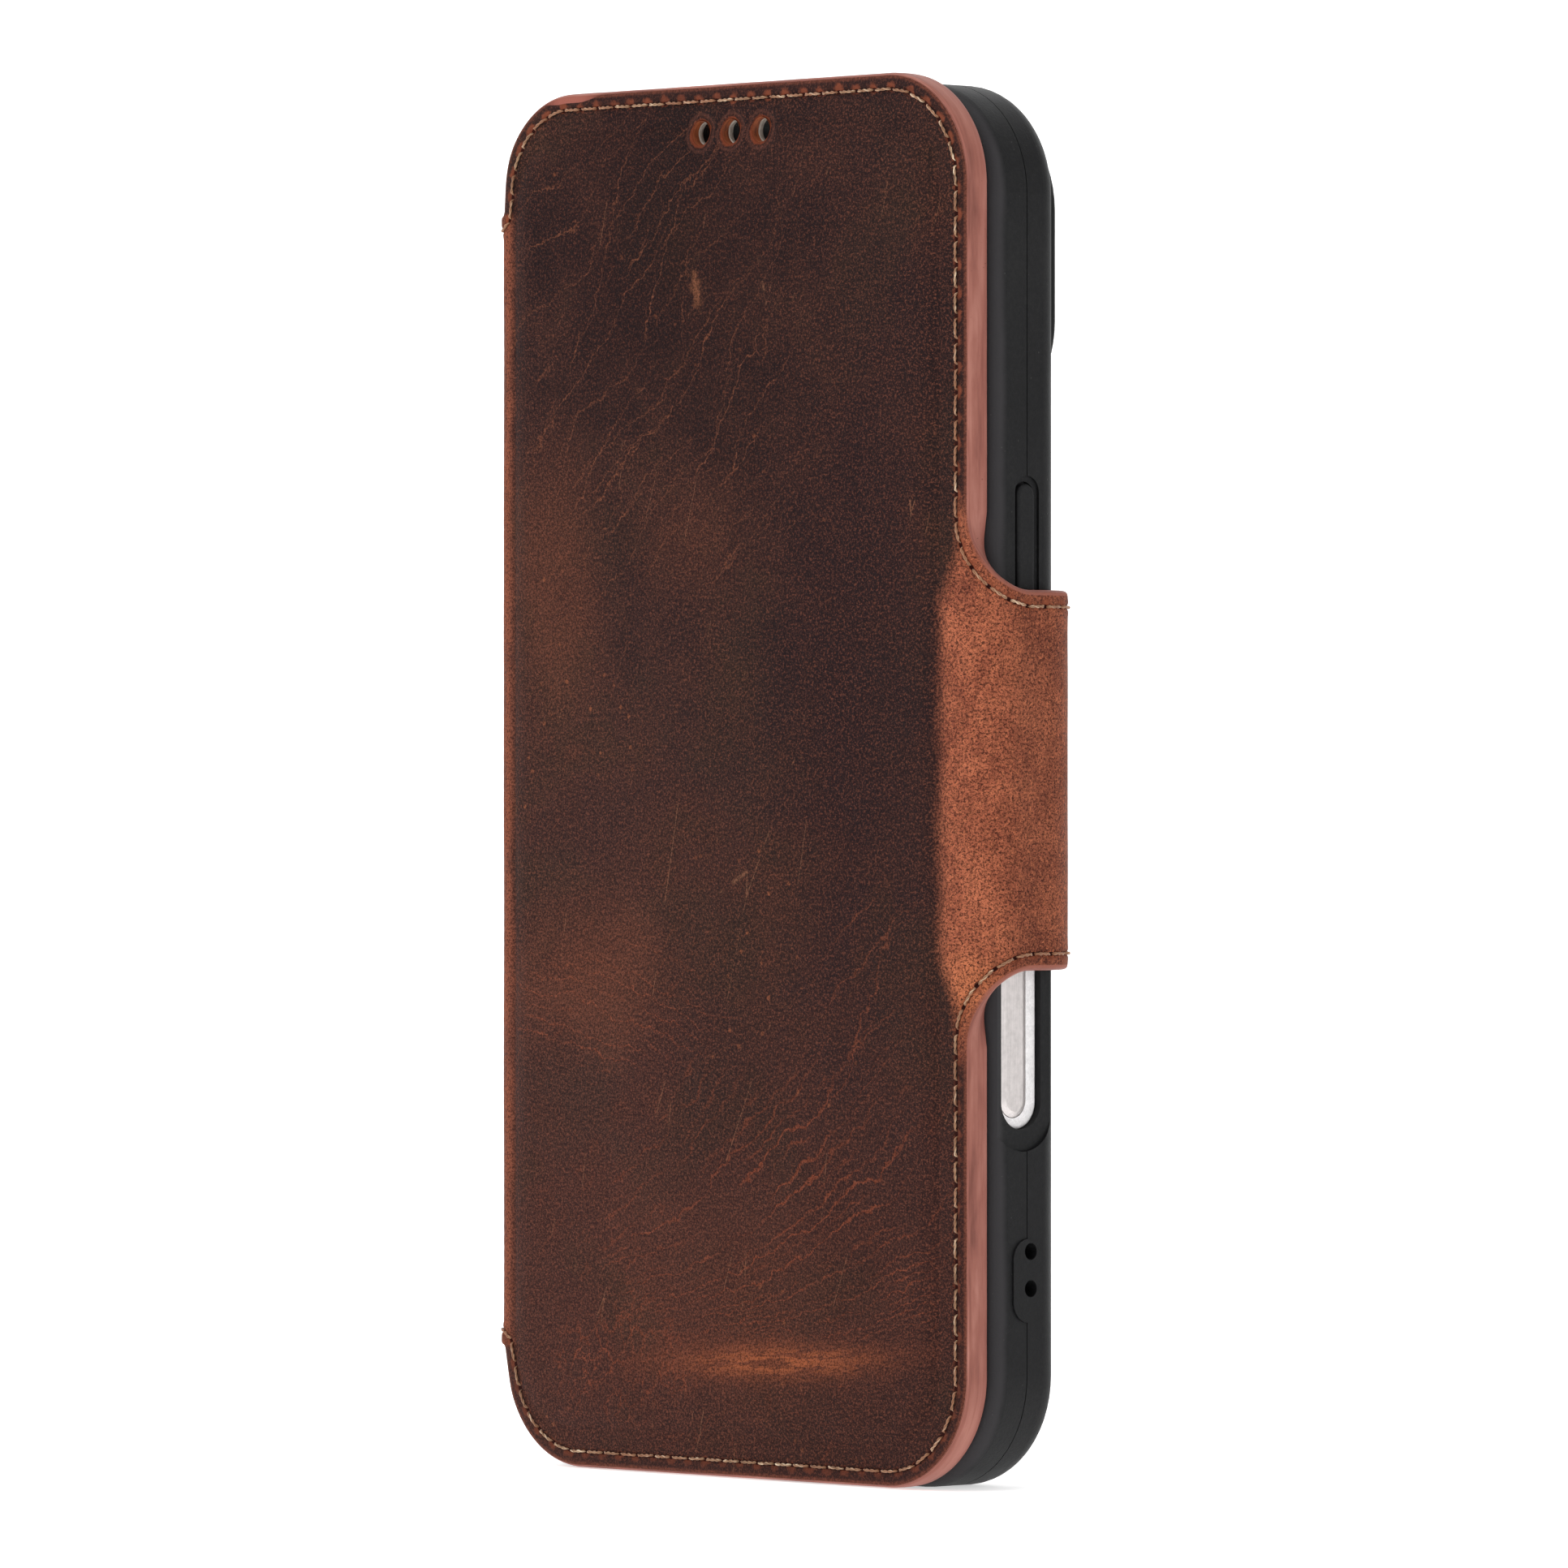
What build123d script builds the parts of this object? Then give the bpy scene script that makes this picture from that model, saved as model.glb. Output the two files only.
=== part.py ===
from build123d import *
import math
import os

# Folio wallet case for a phone: a moulded soft tray that grips the phone, a
# stitched leather cover with card pockets, a leather spine, and a leather
# clasp that wraps round the open side and holds to the back by magnets.
#
# Frame: +X to the right seen from the cover, -Y is the front of the cover,
# +Z is up.  The origin is the middle of the box's bottom face, so the tray
# stands on z = 0.  Millimetres.

# ---------------------------------------------------------------- phone bay
PHONE_W = 77.6          # width of the phone that the bay is made for
PHONE_H = 163.0         # its height
PHONE_T = 8.3           # its thickness
BAY_PLAY = 0.1          # room left on each side of the phone
LIP = 1.6               # how far the front lip reaches over the glass

# --------------------------------------------------------------------- tray
TRAY_W = 81.4
TRAY_H = 166.8
TRAY_R = 13.5
TRAY_FRONT = -5.2       # y of the lip
TRAY_BACK = 6.4         # y of the back wall's outer face
BAY_FRONT = -4.1        # y of the lip's inner face
BAY_BACK = BAY_FRONT + PHONE_T + BAY_PLAY      # 4.3
TRAY_FRONT_ROUND = 2.4
TRAY_BACK_ROUND = 3.2
TRAY_CZ = TRAY_H / 2
TRAY_X = TRAY_W / 2     # outer face of the side walls, 40.7
BAY_X = PHONE_W / 2 + BAY_PLAY                 # inner face of the walls, 38.9
PARTING_Y = 0.43        # mould parting line round the side walls
PARTING_W = 0.12

# camera ring
RING = 37.6
RING_R = 12.2
RING_WALL = 1.5
RING_X = 18.4
RING_Z = 145.2
RING_TOP = 9.2

# side buttons: (centre z, length); a pill slides in a slot of the wall
BTN_Y = 0.13
BTN_W = 2.7
BTN_HOLE_W = 3.3
BTN_FLANGE_W = 4.4
BTN_PROUD = 40.95
POWER_Z, POWER_L = 108.5, 21.0
ACTION_Z, ACTION_L = 130.0, 8.5
VOLUP_Z, VOLUP_L = 115.5, 12.5
VOLDN_Z, VOLDN_L = 99.5, 12.5

# camera control: slot in the right wall with a silver key in a silver surround
KEY_Y = -0.2
KEY_Z = 55.65
KEY_SLOT_W = 6.6
KEY_SLOT_L = 25.9
KEY_DY = -0.7           # the key sits towards the front of its surround
KEY_W = 4.2
KEY_L = 23.0

# lanyard pad with two through holes
PAD_Y = 0.43
PAD_W = 4.9
PAD_Z = 24.85
PAD_L = 9.9
CORD_R = 1.0
CORD_Y = 0.82
CORD_Z = (23.9, 28.3)

# bottom openings
PORT_W, PORT_T, PORT_R = 13.5, 6.4, 2.0
SPK_W, SPK_T, SPK_X = 15.0, 2.4, 20.5

# -------------------------------------------------------------------- cover
LEATHER = 1.0
COVER_CX = -0.75
COVER_W = 81.7          # x -41.6 to 40.1
COVER_H = 167.5
COVER_CZ = 84.0         # z 0.25 to 167.75
COVER_R = 13.5
COVER_Y0 = -9.0         # outer face of the rim
CROWN_Y = -9.4          # outer face over the padding
COVER_Y1 = -8.0         # leather / board
BOARD_Y1 = -7.2
LINING_Y1 = -6.8
CASH_Y1 = -6.45
CARD_Y = (-6.15, -5.85, -5.55)
CARD_X = (-26.0, -16.0, -6.0)
FOLD_R = 4.0            # outer radius of the leather's folds
FOLD_Y = -5.0           # centre of the two front folds
FOLD_X = 38.8
SPINE_HALF = 69.5       # half the spine's length
STITCH_IN = 2.2         # stitch line's distance from the edge
STITCH_W = 0.4
STITCH_D = 0.12
HOLES_X = (-5.2, 0.0, 5.2)
HOLES_Z = 162.05
HOLES_R = 1.5

# -------------------------------------------------------------------- clasp
TAB_HALF = 22.35        # half the width of the clasp
BLEND_R = 8.5           # concave corner between the cover's edge and the clasp
FLAT_X = 48.6           # where that corner ends, measured along the leather
SIDE_X = 42.8           # outer face of the clasp on the side, and of the spine
SIDE_Y1 = 2.3
END_R = 7.1             # outer radius of the clasp's back fold
END_CX = 35.7
END_X0 = 13.0           # free end of the clasp
END_CORNER = 6.0
LINING_T = 0.7
MAGNET_R = 4.0
MAGNET_X = 20.0
MAGNET_Z = (70.0, 84.0, 98.0)

# --------------------------------------------------------------------- back
SPINE_Y1 = 3.4          # centre of the spine's back fold
BACK_Y1 = 7.4
BACK_X0, BACK_X1 = -37.5, 36.4
BACK_Z0, BACK_Z1 = 4.3, 162.5

os.makedirs("parts", exist_ok=True)


def rounded(cx, cz, w, h, r, mode=Mode.ADD):
    """A rounded rectangle drawn in the sketch that is open."""
    with Locations((cx, cz)):
        RectangleRounded(w, h, r, mode=mode)


def box2(x0, x1, z0, z1, mode=Mode.ADD):
    """A rectangle from corner to corner in the sketch that is open."""
    with Locations(((x0 + x1) / 2, (z0 + z1) / 2)):
        Rectangle(x1 - x0, z1 - z0, mode=mode)


def cover_outline(d=0.0, tab=True, x_end=FOLD_X):
    """The cover's outline moved in by d, with the root of the clasp."""
    rounded(COVER_CX, COVER_CZ, COVER_W - 2 * d, COVER_H - 2 * d, COVER_R - d)
    top = TAB_HALF + BLEND_R
    # the folds on both sides start at x = +-FOLD_X
    box2(-60, -FOLD_X, COVER_CZ - SPINE_HALF, COVER_CZ + SPINE_HALF, mode=Mode.SUBTRACT)
    if tab:
        box2(x_end, 60, COVER_CZ - top, COVER_CZ + top, mode=Mode.SUBTRACT)


def sector(cx, cy, ro, ri, a0, a1):
    """Part of a ring between two angles, in degrees."""
    with Locations((cx, cy)):
        Circle(ro)
        Circle(ri, mode=Mode.SUBTRACT)
        r = 2 * ro
        p0 = (r * math.cos(math.radians(a0)), r * math.sin(math.radians(a0)))
        p1 = (r * math.cos(math.radians(a1)), r * math.sin(math.radians(a1)))
        Polygon((0, 0), p0, p1, align=None, mode=Mode.INTERSECT)


def clasp_side_outline(d=0.0):
    """The clasp on the side wall, y across and z up, moved in by d."""
    y_flat = FOLD_Y + (FLAT_X - FOLD_X - FOLD_R * math.pi / 2)
    top = TAB_HALF + BLEND_R
    box2(FOLD_Y, y_flat, COVER_CZ - top, COVER_CZ + top)
    with Locations((y_flat, COVER_CZ - top), (y_flat, COVER_CZ + top)):
        Circle(BLEND_R + d, mode=Mode.SUBTRACT)
    box2(y_flat, SIDE_Y1, COVER_CZ - TAB_HALF + d, COVER_CZ + TAB_HALF - d)


def clasp_end_outline(d=0.0):
    """The clasp's free end on the back, moved in by d."""
    w = 2 * (END_CX - END_X0)
    rounded(END_CX, COVER_CZ, w - 2 * d, 2 * TAB_HALF - 2 * d, END_CORNER - d)
    box2(END_CX, END_CX + w, COVER_CZ - 40, COVER_CZ + 40, mode=Mode.SUBTRACT)


Y_FLAT = FOLD_Y + (FLAT_X - FOLD_X - FOLD_R * math.pi / 2)
TAB_TOP = TAB_HALF + BLEND_R

# =========================================================== 1. tray shell
with BuildPart() as tray_shell:
    with BuildSketch(Plane.XZ.offset(-TRAY_BACK)):
        rounded(0, TRAY_CZ, TRAY_W, TRAY_H, TRAY_R)
    extrude(amount=TRAY_BACK - TRAY_FRONT)
    fillet(tray_shell.faces().sort_by(Axis.Y)[0].edges(), TRAY_FRONT_ROUND)
    fillet(tray_shell.faces().sort_by(Axis.Y)[-1].edges(), TRAY_BACK_ROUND)
    # camera ring, standing proud of the back
    with BuildSketch(Plane.XZ.offset(-RING_TOP)):
        rounded(RING_X, RING_Z, RING, RING, RING_R)
    extrude(amount=RING_TOP - 5.0)
    fillet(tray_shell.faces().sort_by(Axis.Y)[-1].edges(), 0.8)
    # the bay for the phone and the opening inside the lip
    with BuildSketch(Plane.XZ.offset(-BAY_BACK)):
        rounded(0, TRAY_CZ, 2 * BAY_X, PHONE_H + 2 * BAY_PLAY, TRAY_R - 1.8)
    extrude(amount=BAY_BACK - BAY_FRONT, mode=Mode.SUBTRACT)
    with BuildSketch(Plane.XZ.offset(-BAY_FRONT)):
        rounded(0, TRAY_CZ, 2 * (BAY_X - LIP), PHONE_H + 2 * BAY_PLAY - 2 * LIP, TRAY_R - 3.4)
    extrude(amount=BAY_FRONT - TRAY_FRONT, mode=Mode.SUBTRACT)
    # window inside the camera ring
    with BuildSketch(Plane.XZ.offset(-RING_TOP)):
        rounded(RING_X, RING_Z, RING - 2 * RING_WALL, RING - 2 * RING_WALL, RING_R - RING_WALL)
    extrude(amount=RING_TOP - BAY_BACK, mode=Mode.SUBTRACT)
    # mould parting line
    with BuildSketch(Plane.XZ.offset(-(PARTING_Y + PARTING_W / 2))):
        rounded(0, TRAY_CZ, TRAY_W + 4, TRAY_H + 4, TRAY_R + 2)
        rounded(0, TRAY_CZ, TRAY_W - 2 * PARTING_W, TRAY_H - 2 * PARTING_W,
                TRAY_R - PARTING_W, mode=Mode.SUBTRACT)
    extrude(amount=PARTING_W, mode=Mode.SUBTRACT)
    # raised lanyard pad on the right wall
    with BuildSketch(Plane.YZ.offset(TRAY_X - 0.6)):
        with Locations((PAD_Y, PAD_Z)):
            SlotOverall(PAD_L, PAD_W, rotation=90)
    extrude(amount=0.85)
    # its two cord holes
    with BuildSketch(Plane.YZ.offset(BAY_X - 1)):
        with Locations(*[(CORD_Y, z) for z in CORD_Z]):
            Circle(CORD_R)
    extrude(amount=5, mode=Mode.SUBTRACT)
    # shallow scoop and slot of the camera control
    with BuildSketch(Plane.YZ.offset(TRAY_X - 0.4)):
        with Locations((KEY_Y, KEY_Z)):
            SlotOverall(KEY_SLOT_L + 5.2, 10.4, rotation=90)
    extrude(amount=3, mode=Mode.SUBTRACT)
    with BuildSketch(Plane.YZ.offset(BAY_X - 1)):
        with Locations((KEY_Y, KEY_Z)):
            SlotOverall(KEY_SLOT_L, KEY_SLOT_W, rotation=90)
    extrude(amount=5, mode=Mode.SUBTRACT)
    # button slots: shallow surround, slot, and the wider recess inside
    for side, z, length in ((1, POWER_Z, POWER_L), (-1, ACTION_Z, ACTION_L),
                            (-1, VOLUP_Z, VOLUP_L), (-1, VOLDN_Z, VOLDN_L)):
        lo = (TRAY_X - 0.3) if side > 0 else -(TRAY_X + 2)
        with BuildSketch(Plane.YZ.offset(lo)):
            with Locations((BTN_Y + 0.3, z)):
                SlotOverall(length + 2.0, 4.0, rotation=90)
        extrude(amount=2.3, mode=Mode.SUBTRACT)
        lo = (BAY_X - 1) if side > 0 else -(TRAY_X + 2)
        with BuildSketch(Plane.YZ.offset(lo)):
            with Locations((BTN_Y, z)):
                SlotOverall(length + 0.6, BTN_HOLE_W, rotation=90)
        extrude(amount=TRAY_X + 2 - BAY_X + 1, mode=Mode.SUBTRACT)
        lo = (BAY_X - 1) if side > 0 else -39.9
        with BuildSketch(Plane.YZ.offset(lo)):
            with Locations((BTN_Y, z)):
                SlotOverall(length + 2.2, BTN_FLANGE_W + 0.4, rotation=90)
        extrude(amount=39.9 - BAY_X + 1, mode=Mode.SUBTRACT)
    # charging port and speaker slots in the bottom wall
    with BuildSketch(Plane.XY.offset(-1)):
        with Locations((0, 0.1)):
            RectangleRounded(PORT_W, PORT_T, PORT_R)
        with Locations((-SPK_X, 0.1), (SPK_X, 0.1)):
            SlotOverall(SPK_W, SPK_T)
    extrude(amount=4, mode=Mode.SUBTRACT)
    # microphone hole in the top wall
    with BuildSketch(Plane.XY.offset(TRAY_H - 3)):
        with Locations((12.0, 0.1)):
            Circle(0.9)
    extrude(amount=4, mode=Mode.SUBTRACT)
    # seats for the magnets that hold the clasp
    with BuildSketch(Plane.XZ.offset(-TRAY_BACK)):
        with Locations(*[(MAGNET_X, z) for z in MAGNET_Z]):
            Circle(MAGNET_R)
    extrude(amount=1.0, mode=Mode.SUBTRACT)
tray_shell.part.label = "tray_shell"
export_step(tray_shell.part, "parts/tray_shell.step")

# ======================================================= 2-5. side buttons
with BuildPart() as power_button:
    with BuildSketch(Plane.YZ.offset(39.3)):
        with Locations((BTN_Y, POWER_Z)):
            SlotOverall(POWER_L + 1.7, BTN_FLANGE_W, rotation=90)
    extrude(amount=0.6)
    with BuildSketch(Plane.YZ.offset(39.9)):
        with Locations((BTN_Y, POWER_Z)):
            SlotOverall(POWER_L, BTN_W, rotation=90)
    extrude(amount=BTN_PROUD - 39.9)
    fillet(power_button.faces().sort_by(Axis.X)[-1].edges(), 0.35)
power_button.part.label = "power_button"
export_step(power_button.part, "parts/power_button.step")

with BuildPart() as action_button:
    with BuildSketch(Plane.YZ.offset(-39.9)):
        with Locations((BTN_Y, ACTION_Z)):
            SlotOverall(ACTION_L + 1.7, BTN_FLANGE_W, rotation=90)
    extrude(amount=0.6)
    with BuildSketch(Plane.YZ.offset(-BTN_PROUD)):
        with Locations((BTN_Y, ACTION_Z)):
            SlotOverall(ACTION_L, BTN_W, rotation=90)
    extrude(amount=BTN_PROUD - 39.9)
    fillet(action_button.faces().sort_by(Axis.X)[0].edges(), 0.35)
action_button.part.label = "action_button"
export_step(action_button.part, "parts/action_button.step")

with BuildPart() as volume_up_button:
    with BuildSketch(Plane.YZ.offset(-39.9)):
        with Locations((BTN_Y, VOLUP_Z)):
            SlotOverall(VOLUP_L + 1.7, BTN_FLANGE_W, rotation=90)
    extrude(amount=0.6)
    with BuildSketch(Plane.YZ.offset(-BTN_PROUD)):
        with Locations((BTN_Y, VOLUP_Z)):
            SlotOverall(VOLUP_L, BTN_W, rotation=90)
    extrude(amount=BTN_PROUD - 39.9)
    fillet(volume_up_button.faces().sort_by(Axis.X)[0].edges(), 0.35)
volume_up_button.part.label = "volume_up_button"
export_step(volume_up_button.part, "parts/volume_up_button.step")

with BuildPart() as volume_down_button:
    with BuildSketch(Plane.YZ.offset(-39.9)):
        with Locations((BTN_Y, VOLDN_Z)):
            SlotOverall(VOLDN_L + 1.7, BTN_FLANGE_W, rotation=90)
    extrude(amount=0.6)
    with BuildSketch(Plane.YZ.offset(-BTN_PROUD)):
        with Locations((BTN_Y, VOLDN_Z)):
            SlotOverall(VOLDN_L, BTN_W, rotation=90)
    extrude(amount=BTN_PROUD - 39.9)
    fillet(volume_down_button.faces().sort_by(Axis.X)[0].edges(), 0.35)
volume_down_button.part.label = "volume_down_button"
export_step(volume_down_button.part, "parts/volume_down_button.step")

# ============================================== 6-7. camera control insert
with BuildPart() as camera_key_bezel:
    with BuildSketch(Plane.YZ.offset(BAY_X)):
        with Locations((KEY_Y, KEY_Z)):
            SlotOverall(KEY_SLOT_L, KEY_SLOT_W, rotation=90)
    extrude(amount=0.7)
    fillet(camera_key_bezel.faces().sort_by(Axis.X)[-1].edges(), 0.45)
    with BuildSketch(Plane.YZ.offset(BAY_X - 1)):
        with Locations((KEY_Y + KEY_DY, KEY_Z)):
            SlotOverall(KEY_L + 0.2, KEY_W + 0.2, rotation=90)
    extrude(amount=3, mode=Mode.SUBTRACT)
    # recess for the key's flange
    with BuildSketch(Plane.YZ.offset(BAY_X - 1)):
        with Locations((KEY_Y + KEY_DY, KEY_Z)):
            SlotOverall(KEY_L + 0.8, KEY_W + 0.7, rotation=90)
    extrude(amount=1.35, mode=Mode.SUBTRACT)
camera_key_bezel.part.label = "camera_key_bezel"
export_step(camera_key_bezel.part, "parts/camera_key_bezel.step")

with BuildPart() as camera_key:
    with BuildSketch(Plane.YZ.offset(BAY_X + 0.05)):
        with Locations((KEY_Y + KEY_DY, KEY_Z)):
            SlotOverall(KEY_L + 0.6, KEY_W + 0.5, rotation=90)
    extrude(amount=0.25)
    with BuildSketch(Plane.YZ.offset(BAY_X + 0.3)):
        with Locations((KEY_Y + KEY_DY, KEY_Z)):
            SlotOverall(KEY_L, KEY_W, rotation=90)
    extrude(amount=0.75)
    # sloping rim round the flat that the finger touches
    chamfer(camera_key.faces().sort_by(Axis.X)[-1].edges(), length=0.35, length2=0.7)
camera_key.part.label = "camera_key"
export_step(camera_key.part, "parts/camera_key.step")

# ================================================ 8-10. leather on the back
with BuildPart() as back_leather:
    with BuildSketch(Plane.XZ.offset(-BACK_Y1)):
        rounded((BACK_X0 + BACK_X1) / 2, (BACK_Z0 + BACK_Z1) / 2,
                BACK_X1 - BACK_X0, BACK_Z1 - BACK_Z0, 11.0)
        box2(-FOLD_X, -20, COVER_CZ - SPINE_HALF, COVER_CZ + SPINE_HALF)
        # stands clear of the camera ring
        rounded(RING_X + 10, RING_Z + 10, RING + 21.2, RING + 21.2, RING_R + 0.6,
                mode=Mode.SUBTRACT)
    extrude(amount=LEATHER)
    with BuildSketch(Plane.XY.offset(COVER_CZ - SPINE_HALF)):
        sector(-FOLD_X, SPINE_Y1, FOLD_R, FOLD_R - LEATHER, 90, 135)
    extrude(amount=2 * SPINE_HALF)
    # groove for the thread
    with BuildSketch(Plane.XZ.offset(-BACK_Y1)):
        box2(BACK_X0 + 14, BACK_X1 - 14, BACK_Z0 + STITCH_IN, BACK_Z0 + STITCH_IN + STITCH_W)
        box2(BACK_X0 + 14, RING_X - 30, BACK_Z1 - STITCH_IN - STITCH_W, BACK_Z1 - STITCH_IN)
        box2(BACK_X1 - STITCH_IN - STITCH_W, BACK_X1 - STITCH_IN, BACK_Z0 + 14, RING_Z - 32)
    extrude(amount=STITCH_D, mode=Mode.SUBTRACT)
back_leather.part.label = "back_leather"
export_step(back_leather.part, "parts/back_leather.step")

with BuildPart() as back_stitching:
    with BuildSketch(Plane.XZ.offset(-BACK_Y1)):
        box2(BACK_X0 + 14, BACK_X1 - 14, BACK_Z0 + STITCH_IN, BACK_Z0 + STITCH_IN + STITCH_W)
        box2(BACK_X0 + 14, RING_X - 30, BACK_Z1 - STITCH_IN - STITCH_W, BACK_Z1 - STITCH_IN)
        box2(BACK_X1 - STITCH_IN - STITCH_W, BACK_X1 - STITCH_IN, BACK_Z0 + 14, RING_Z - 32)
    extrude(amount=STITCH_D)
back_stitching.part.label = "back_stitching"
export_step(back_stitching.part, "parts/back_stitching.step")

with BuildPart() as back_magnets:
    with BuildSketch(Plane.XZ.offset(-(TRAY_BACK - 0.05))):
        with Locations(*[(MAGNET_X, z) for z in MAGNET_Z]):
            Circle(MAGNET_R - 0.05)
    extrude(amount=0.9)
back_magnets.part.label = "back_magnets"
export_step(back_magnets.part, "parts/back_magnets.step")

# ============================================================ 11-13. spine
with BuildPart() as spine_leather:
    with BuildSketch(Plane.XY.offset(COVER_CZ - SPINE_HALF)):
        box2(-SIDE_X, -SIDE_X + LEATHER, FOLD_Y, SPINE_Y1)
    extrude(amount=2 * SPINE_HALF)
    with BuildSketch(Plane.XY.offset(COVER_CZ - SPINE_HALF)):
        sector(-FOLD_X, FOLD_Y, FOLD_R, FOLD_R - LEATHER, 180, 225)
    extrude(amount=2 * SPINE_HALF)
    with BuildSketch(Plane.XY.offset(COVER_CZ - SPINE_HALF)):
        sector(-FOLD_X, SPINE_Y1, FOLD_R, FOLD_R - LEATHER, 135, 180)
    extrude(amount=2 * SPINE_HALF)
    with BuildSketch(Plane.YZ.offset(-SIDE_X)):
        for z in (COVER_CZ - SPINE_HALF + STITCH_IN, COVER_CZ + SPINE_HALF - STITCH_IN):
            box2(FOLD_Y, SPINE_Y1, z - STITCH_W / 2, z + STITCH_W / 2)
    extrude(amount=STITCH_D, mode=Mode.SUBTRACT)
spine_leather.part.label = "spine_leather"
export_step(spine_leather.part, "parts/spine_leather.step")

with BuildPart() as spine_lining:
    with BuildSketch(Plane.XY.offset(COVER_CZ - SPINE_HALF)):
        box2(-SIDE_X + LEATHER, -SIDE_X + LEATHER + LINING_T, FOLD_Y, SPINE_Y1)
    extrude(amount=2 * SPINE_HALF)
spine_lining.part.label = "spine_lining"
export_step(spine_lining.part, "parts/spine_lining.step")

with BuildPart() as spine_stitching:
    with BuildSketch(Plane.YZ.offset(-SIDE_X)):
        for z in (COVER_CZ - SPINE_HALF + STITCH_IN, COVER_CZ + SPINE_HALF - STITCH_IN):
            box2(FOLD_Y, SPINE_Y1, z - STITCH_W / 2, z + STITCH_W / 2)
    extrude(amount=STITCH_D)
spine_stitching.part.label = "spine_stitching"
export_step(spine_stitching.part, "parts/spine_stitching.step")

# ============================================================ 14-23. cover
with BuildPart() as cover_leather:
    with BuildSketch(Plane.XZ.offset(-COVER_Y1)):
        cover_outline()
    extrude(amount=COVER_Y1 - COVER_Y0)
    # crown over the padding
    with BuildSketch(Plane.XZ.offset(-COVER_Y0)):
        rounded(COVER_CX + 0.3, COVER_CZ, COVER_W - 9.6, COVER_H - 9, COVER_R - 4)
    extrude(amount=COVER_Y0 - CROWN_Y, taper=30)
    with BuildSketch(Plane.XZ.offset(-COVER_Y1)):
        rounded(COVER_CX + 0.3, COVER_CZ, COVER_W - 11, COVER_H - 10.4, COVER_R - 4.7)
    extrude(amount=0.4, mode=Mode.SUBTRACT)
    # the cover's half of the spine fold
    with BuildSketch(Plane.XY.offset(COVER_CZ - SPINE_HALF)):
        sector(-FOLD_X, FOLD_Y, FOLD_R, FOLD_R - LEATHER, 225, 270)
    extrude(amount=2 * SPINE_HALF)
    # the cover's half of the clasp fold
    with BuildSketch(Plane.XY.offset(COVER_CZ - TAB_TOP)):
        sector(FOLD_X, FOLD_Y, FOLD_R, FOLD_R - LEATHER, 270, 315)
    extrude(amount=2 * TAB_TOP)
    # concave corners at the root of the clasp
    with BuildSketch(Plane.XZ.offset(5)):
        with Locations((FLAT_X, COVER_CZ - TAB_TOP), (FLAT_X, COVER_CZ + TAB_TOP)):
            Circle(BLEND_R)
    extrude(amount=10, mode=Mode.SUBTRACT)
    # groove for the thread, open at the spine and at the clasp fold
    with BuildSketch(Plane.XZ.offset(-COVER_Y0)):
        rounded(COVER_CX, COVER_CZ, COVER_W - 2 * STITCH_IN, COVER_H - 2 * STITCH_IN, COVER_R - STITCH_IN)
        rounded(COVER_CX, COVER_CZ, COVER_W - 2 * (STITCH_IN + STITCH_W),
                COVER_H - 2 * (STITCH_IN + STITCH_W), COVER_R - STITCH_IN - STITCH_W, mode=Mode.SUBTRACT)
        box2(-60, -30, COVER_CZ - SPINE_HALF - 1, COVER_CZ + SPINE_HALF + 1, mode=Mode.SUBTRACT)
        box2(30, 60, COVER_CZ - TAB_TOP, COVER_CZ + TAB_TOP, mode=Mode.SUBTRACT)
    extrude(amount=-STITCH_D, mode=Mode.SUBTRACT)
    # three speaker holes
    with BuildSketch(Plane.XZ.offset(5)):
        with Locations(*[(x, HOLES_Z) for x in HOLES_X]):
            Circle(HOLES_R)
    extrude(amount=6, mode=Mode.SUBTRACT)
cover_leather.part.label = "cover_leather"
export_step(cover_leather.part, "parts/cover_leather.step")

with BuildPart() as cover_padding:
    with BuildSketch(Plane.XZ.offset(-COVER_Y1)):
        rounded(COVER_CX + 0.3, COVER_CZ, COVER_W - 11, COVER_H - 10.4, COVER_R - 4.7)
        with Locations(*[(x, HOLES_Z) for x in HOLES_X]):
            Circle(HOLES_R, mode=Mode.SUBTRACT)
    extrude(amount=0.4)
cover_padding.part.label = "cover_padding"
export_step(cover_padding.part, "parts/cover_padding.step")

with BuildPart() as cover_board:
    with BuildSketch(Plane.XZ.offset(-BOARD_Y1)):
        cover_outline(0.0, x_end=38.5)
        with Locations(*[(x, HOLES_Z) for x in HOLES_X]):
            Circle(HOLES_R, mode=Mode.SUBTRACT)
    extrude(amount=BOARD_Y1 - COVER_Y1)
cover_board.part.label = "cover_board"
export_step(cover_board.part, "parts/cover_board.step")

with BuildPart() as cover_lining:
    with BuildSketch(Plane.XZ.offset(-LINING_Y1)):
        cover_outline(0.0, tab=False)
        with Locations(*[(x, HOLES_Z) for x in HOLES_X]):
            Circle(HOLES_R, mode=Mode.SUBTRACT)
    extrude(amount=LINING_Y1 - BOARD_Y1)
cover_lining.part.label = "cover_lining"
export_step(cover_lining.part, "parts/cover_lining.step")

with BuildPart() as cash_pocket:
    with BuildSketch(Plane.XZ.offset(-CASH_Y1)):
        cover_outline(0.0, tab=False)
        box2(-60, -34.0, -10, 200, mode=Mode.SUBTRACT)
        with Locations(*[(x, HOLES_Z) for x in HOLES_X]):
            Circle(HOLES_R, mode=Mode.SUBTRACT)
    extrude(amount=CASH_Y1 - LINING_Y1)
cash_pocket.part.label = "cash_pocket"
export_step(cash_pocket.part, "parts/cash_pocket.step")

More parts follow.
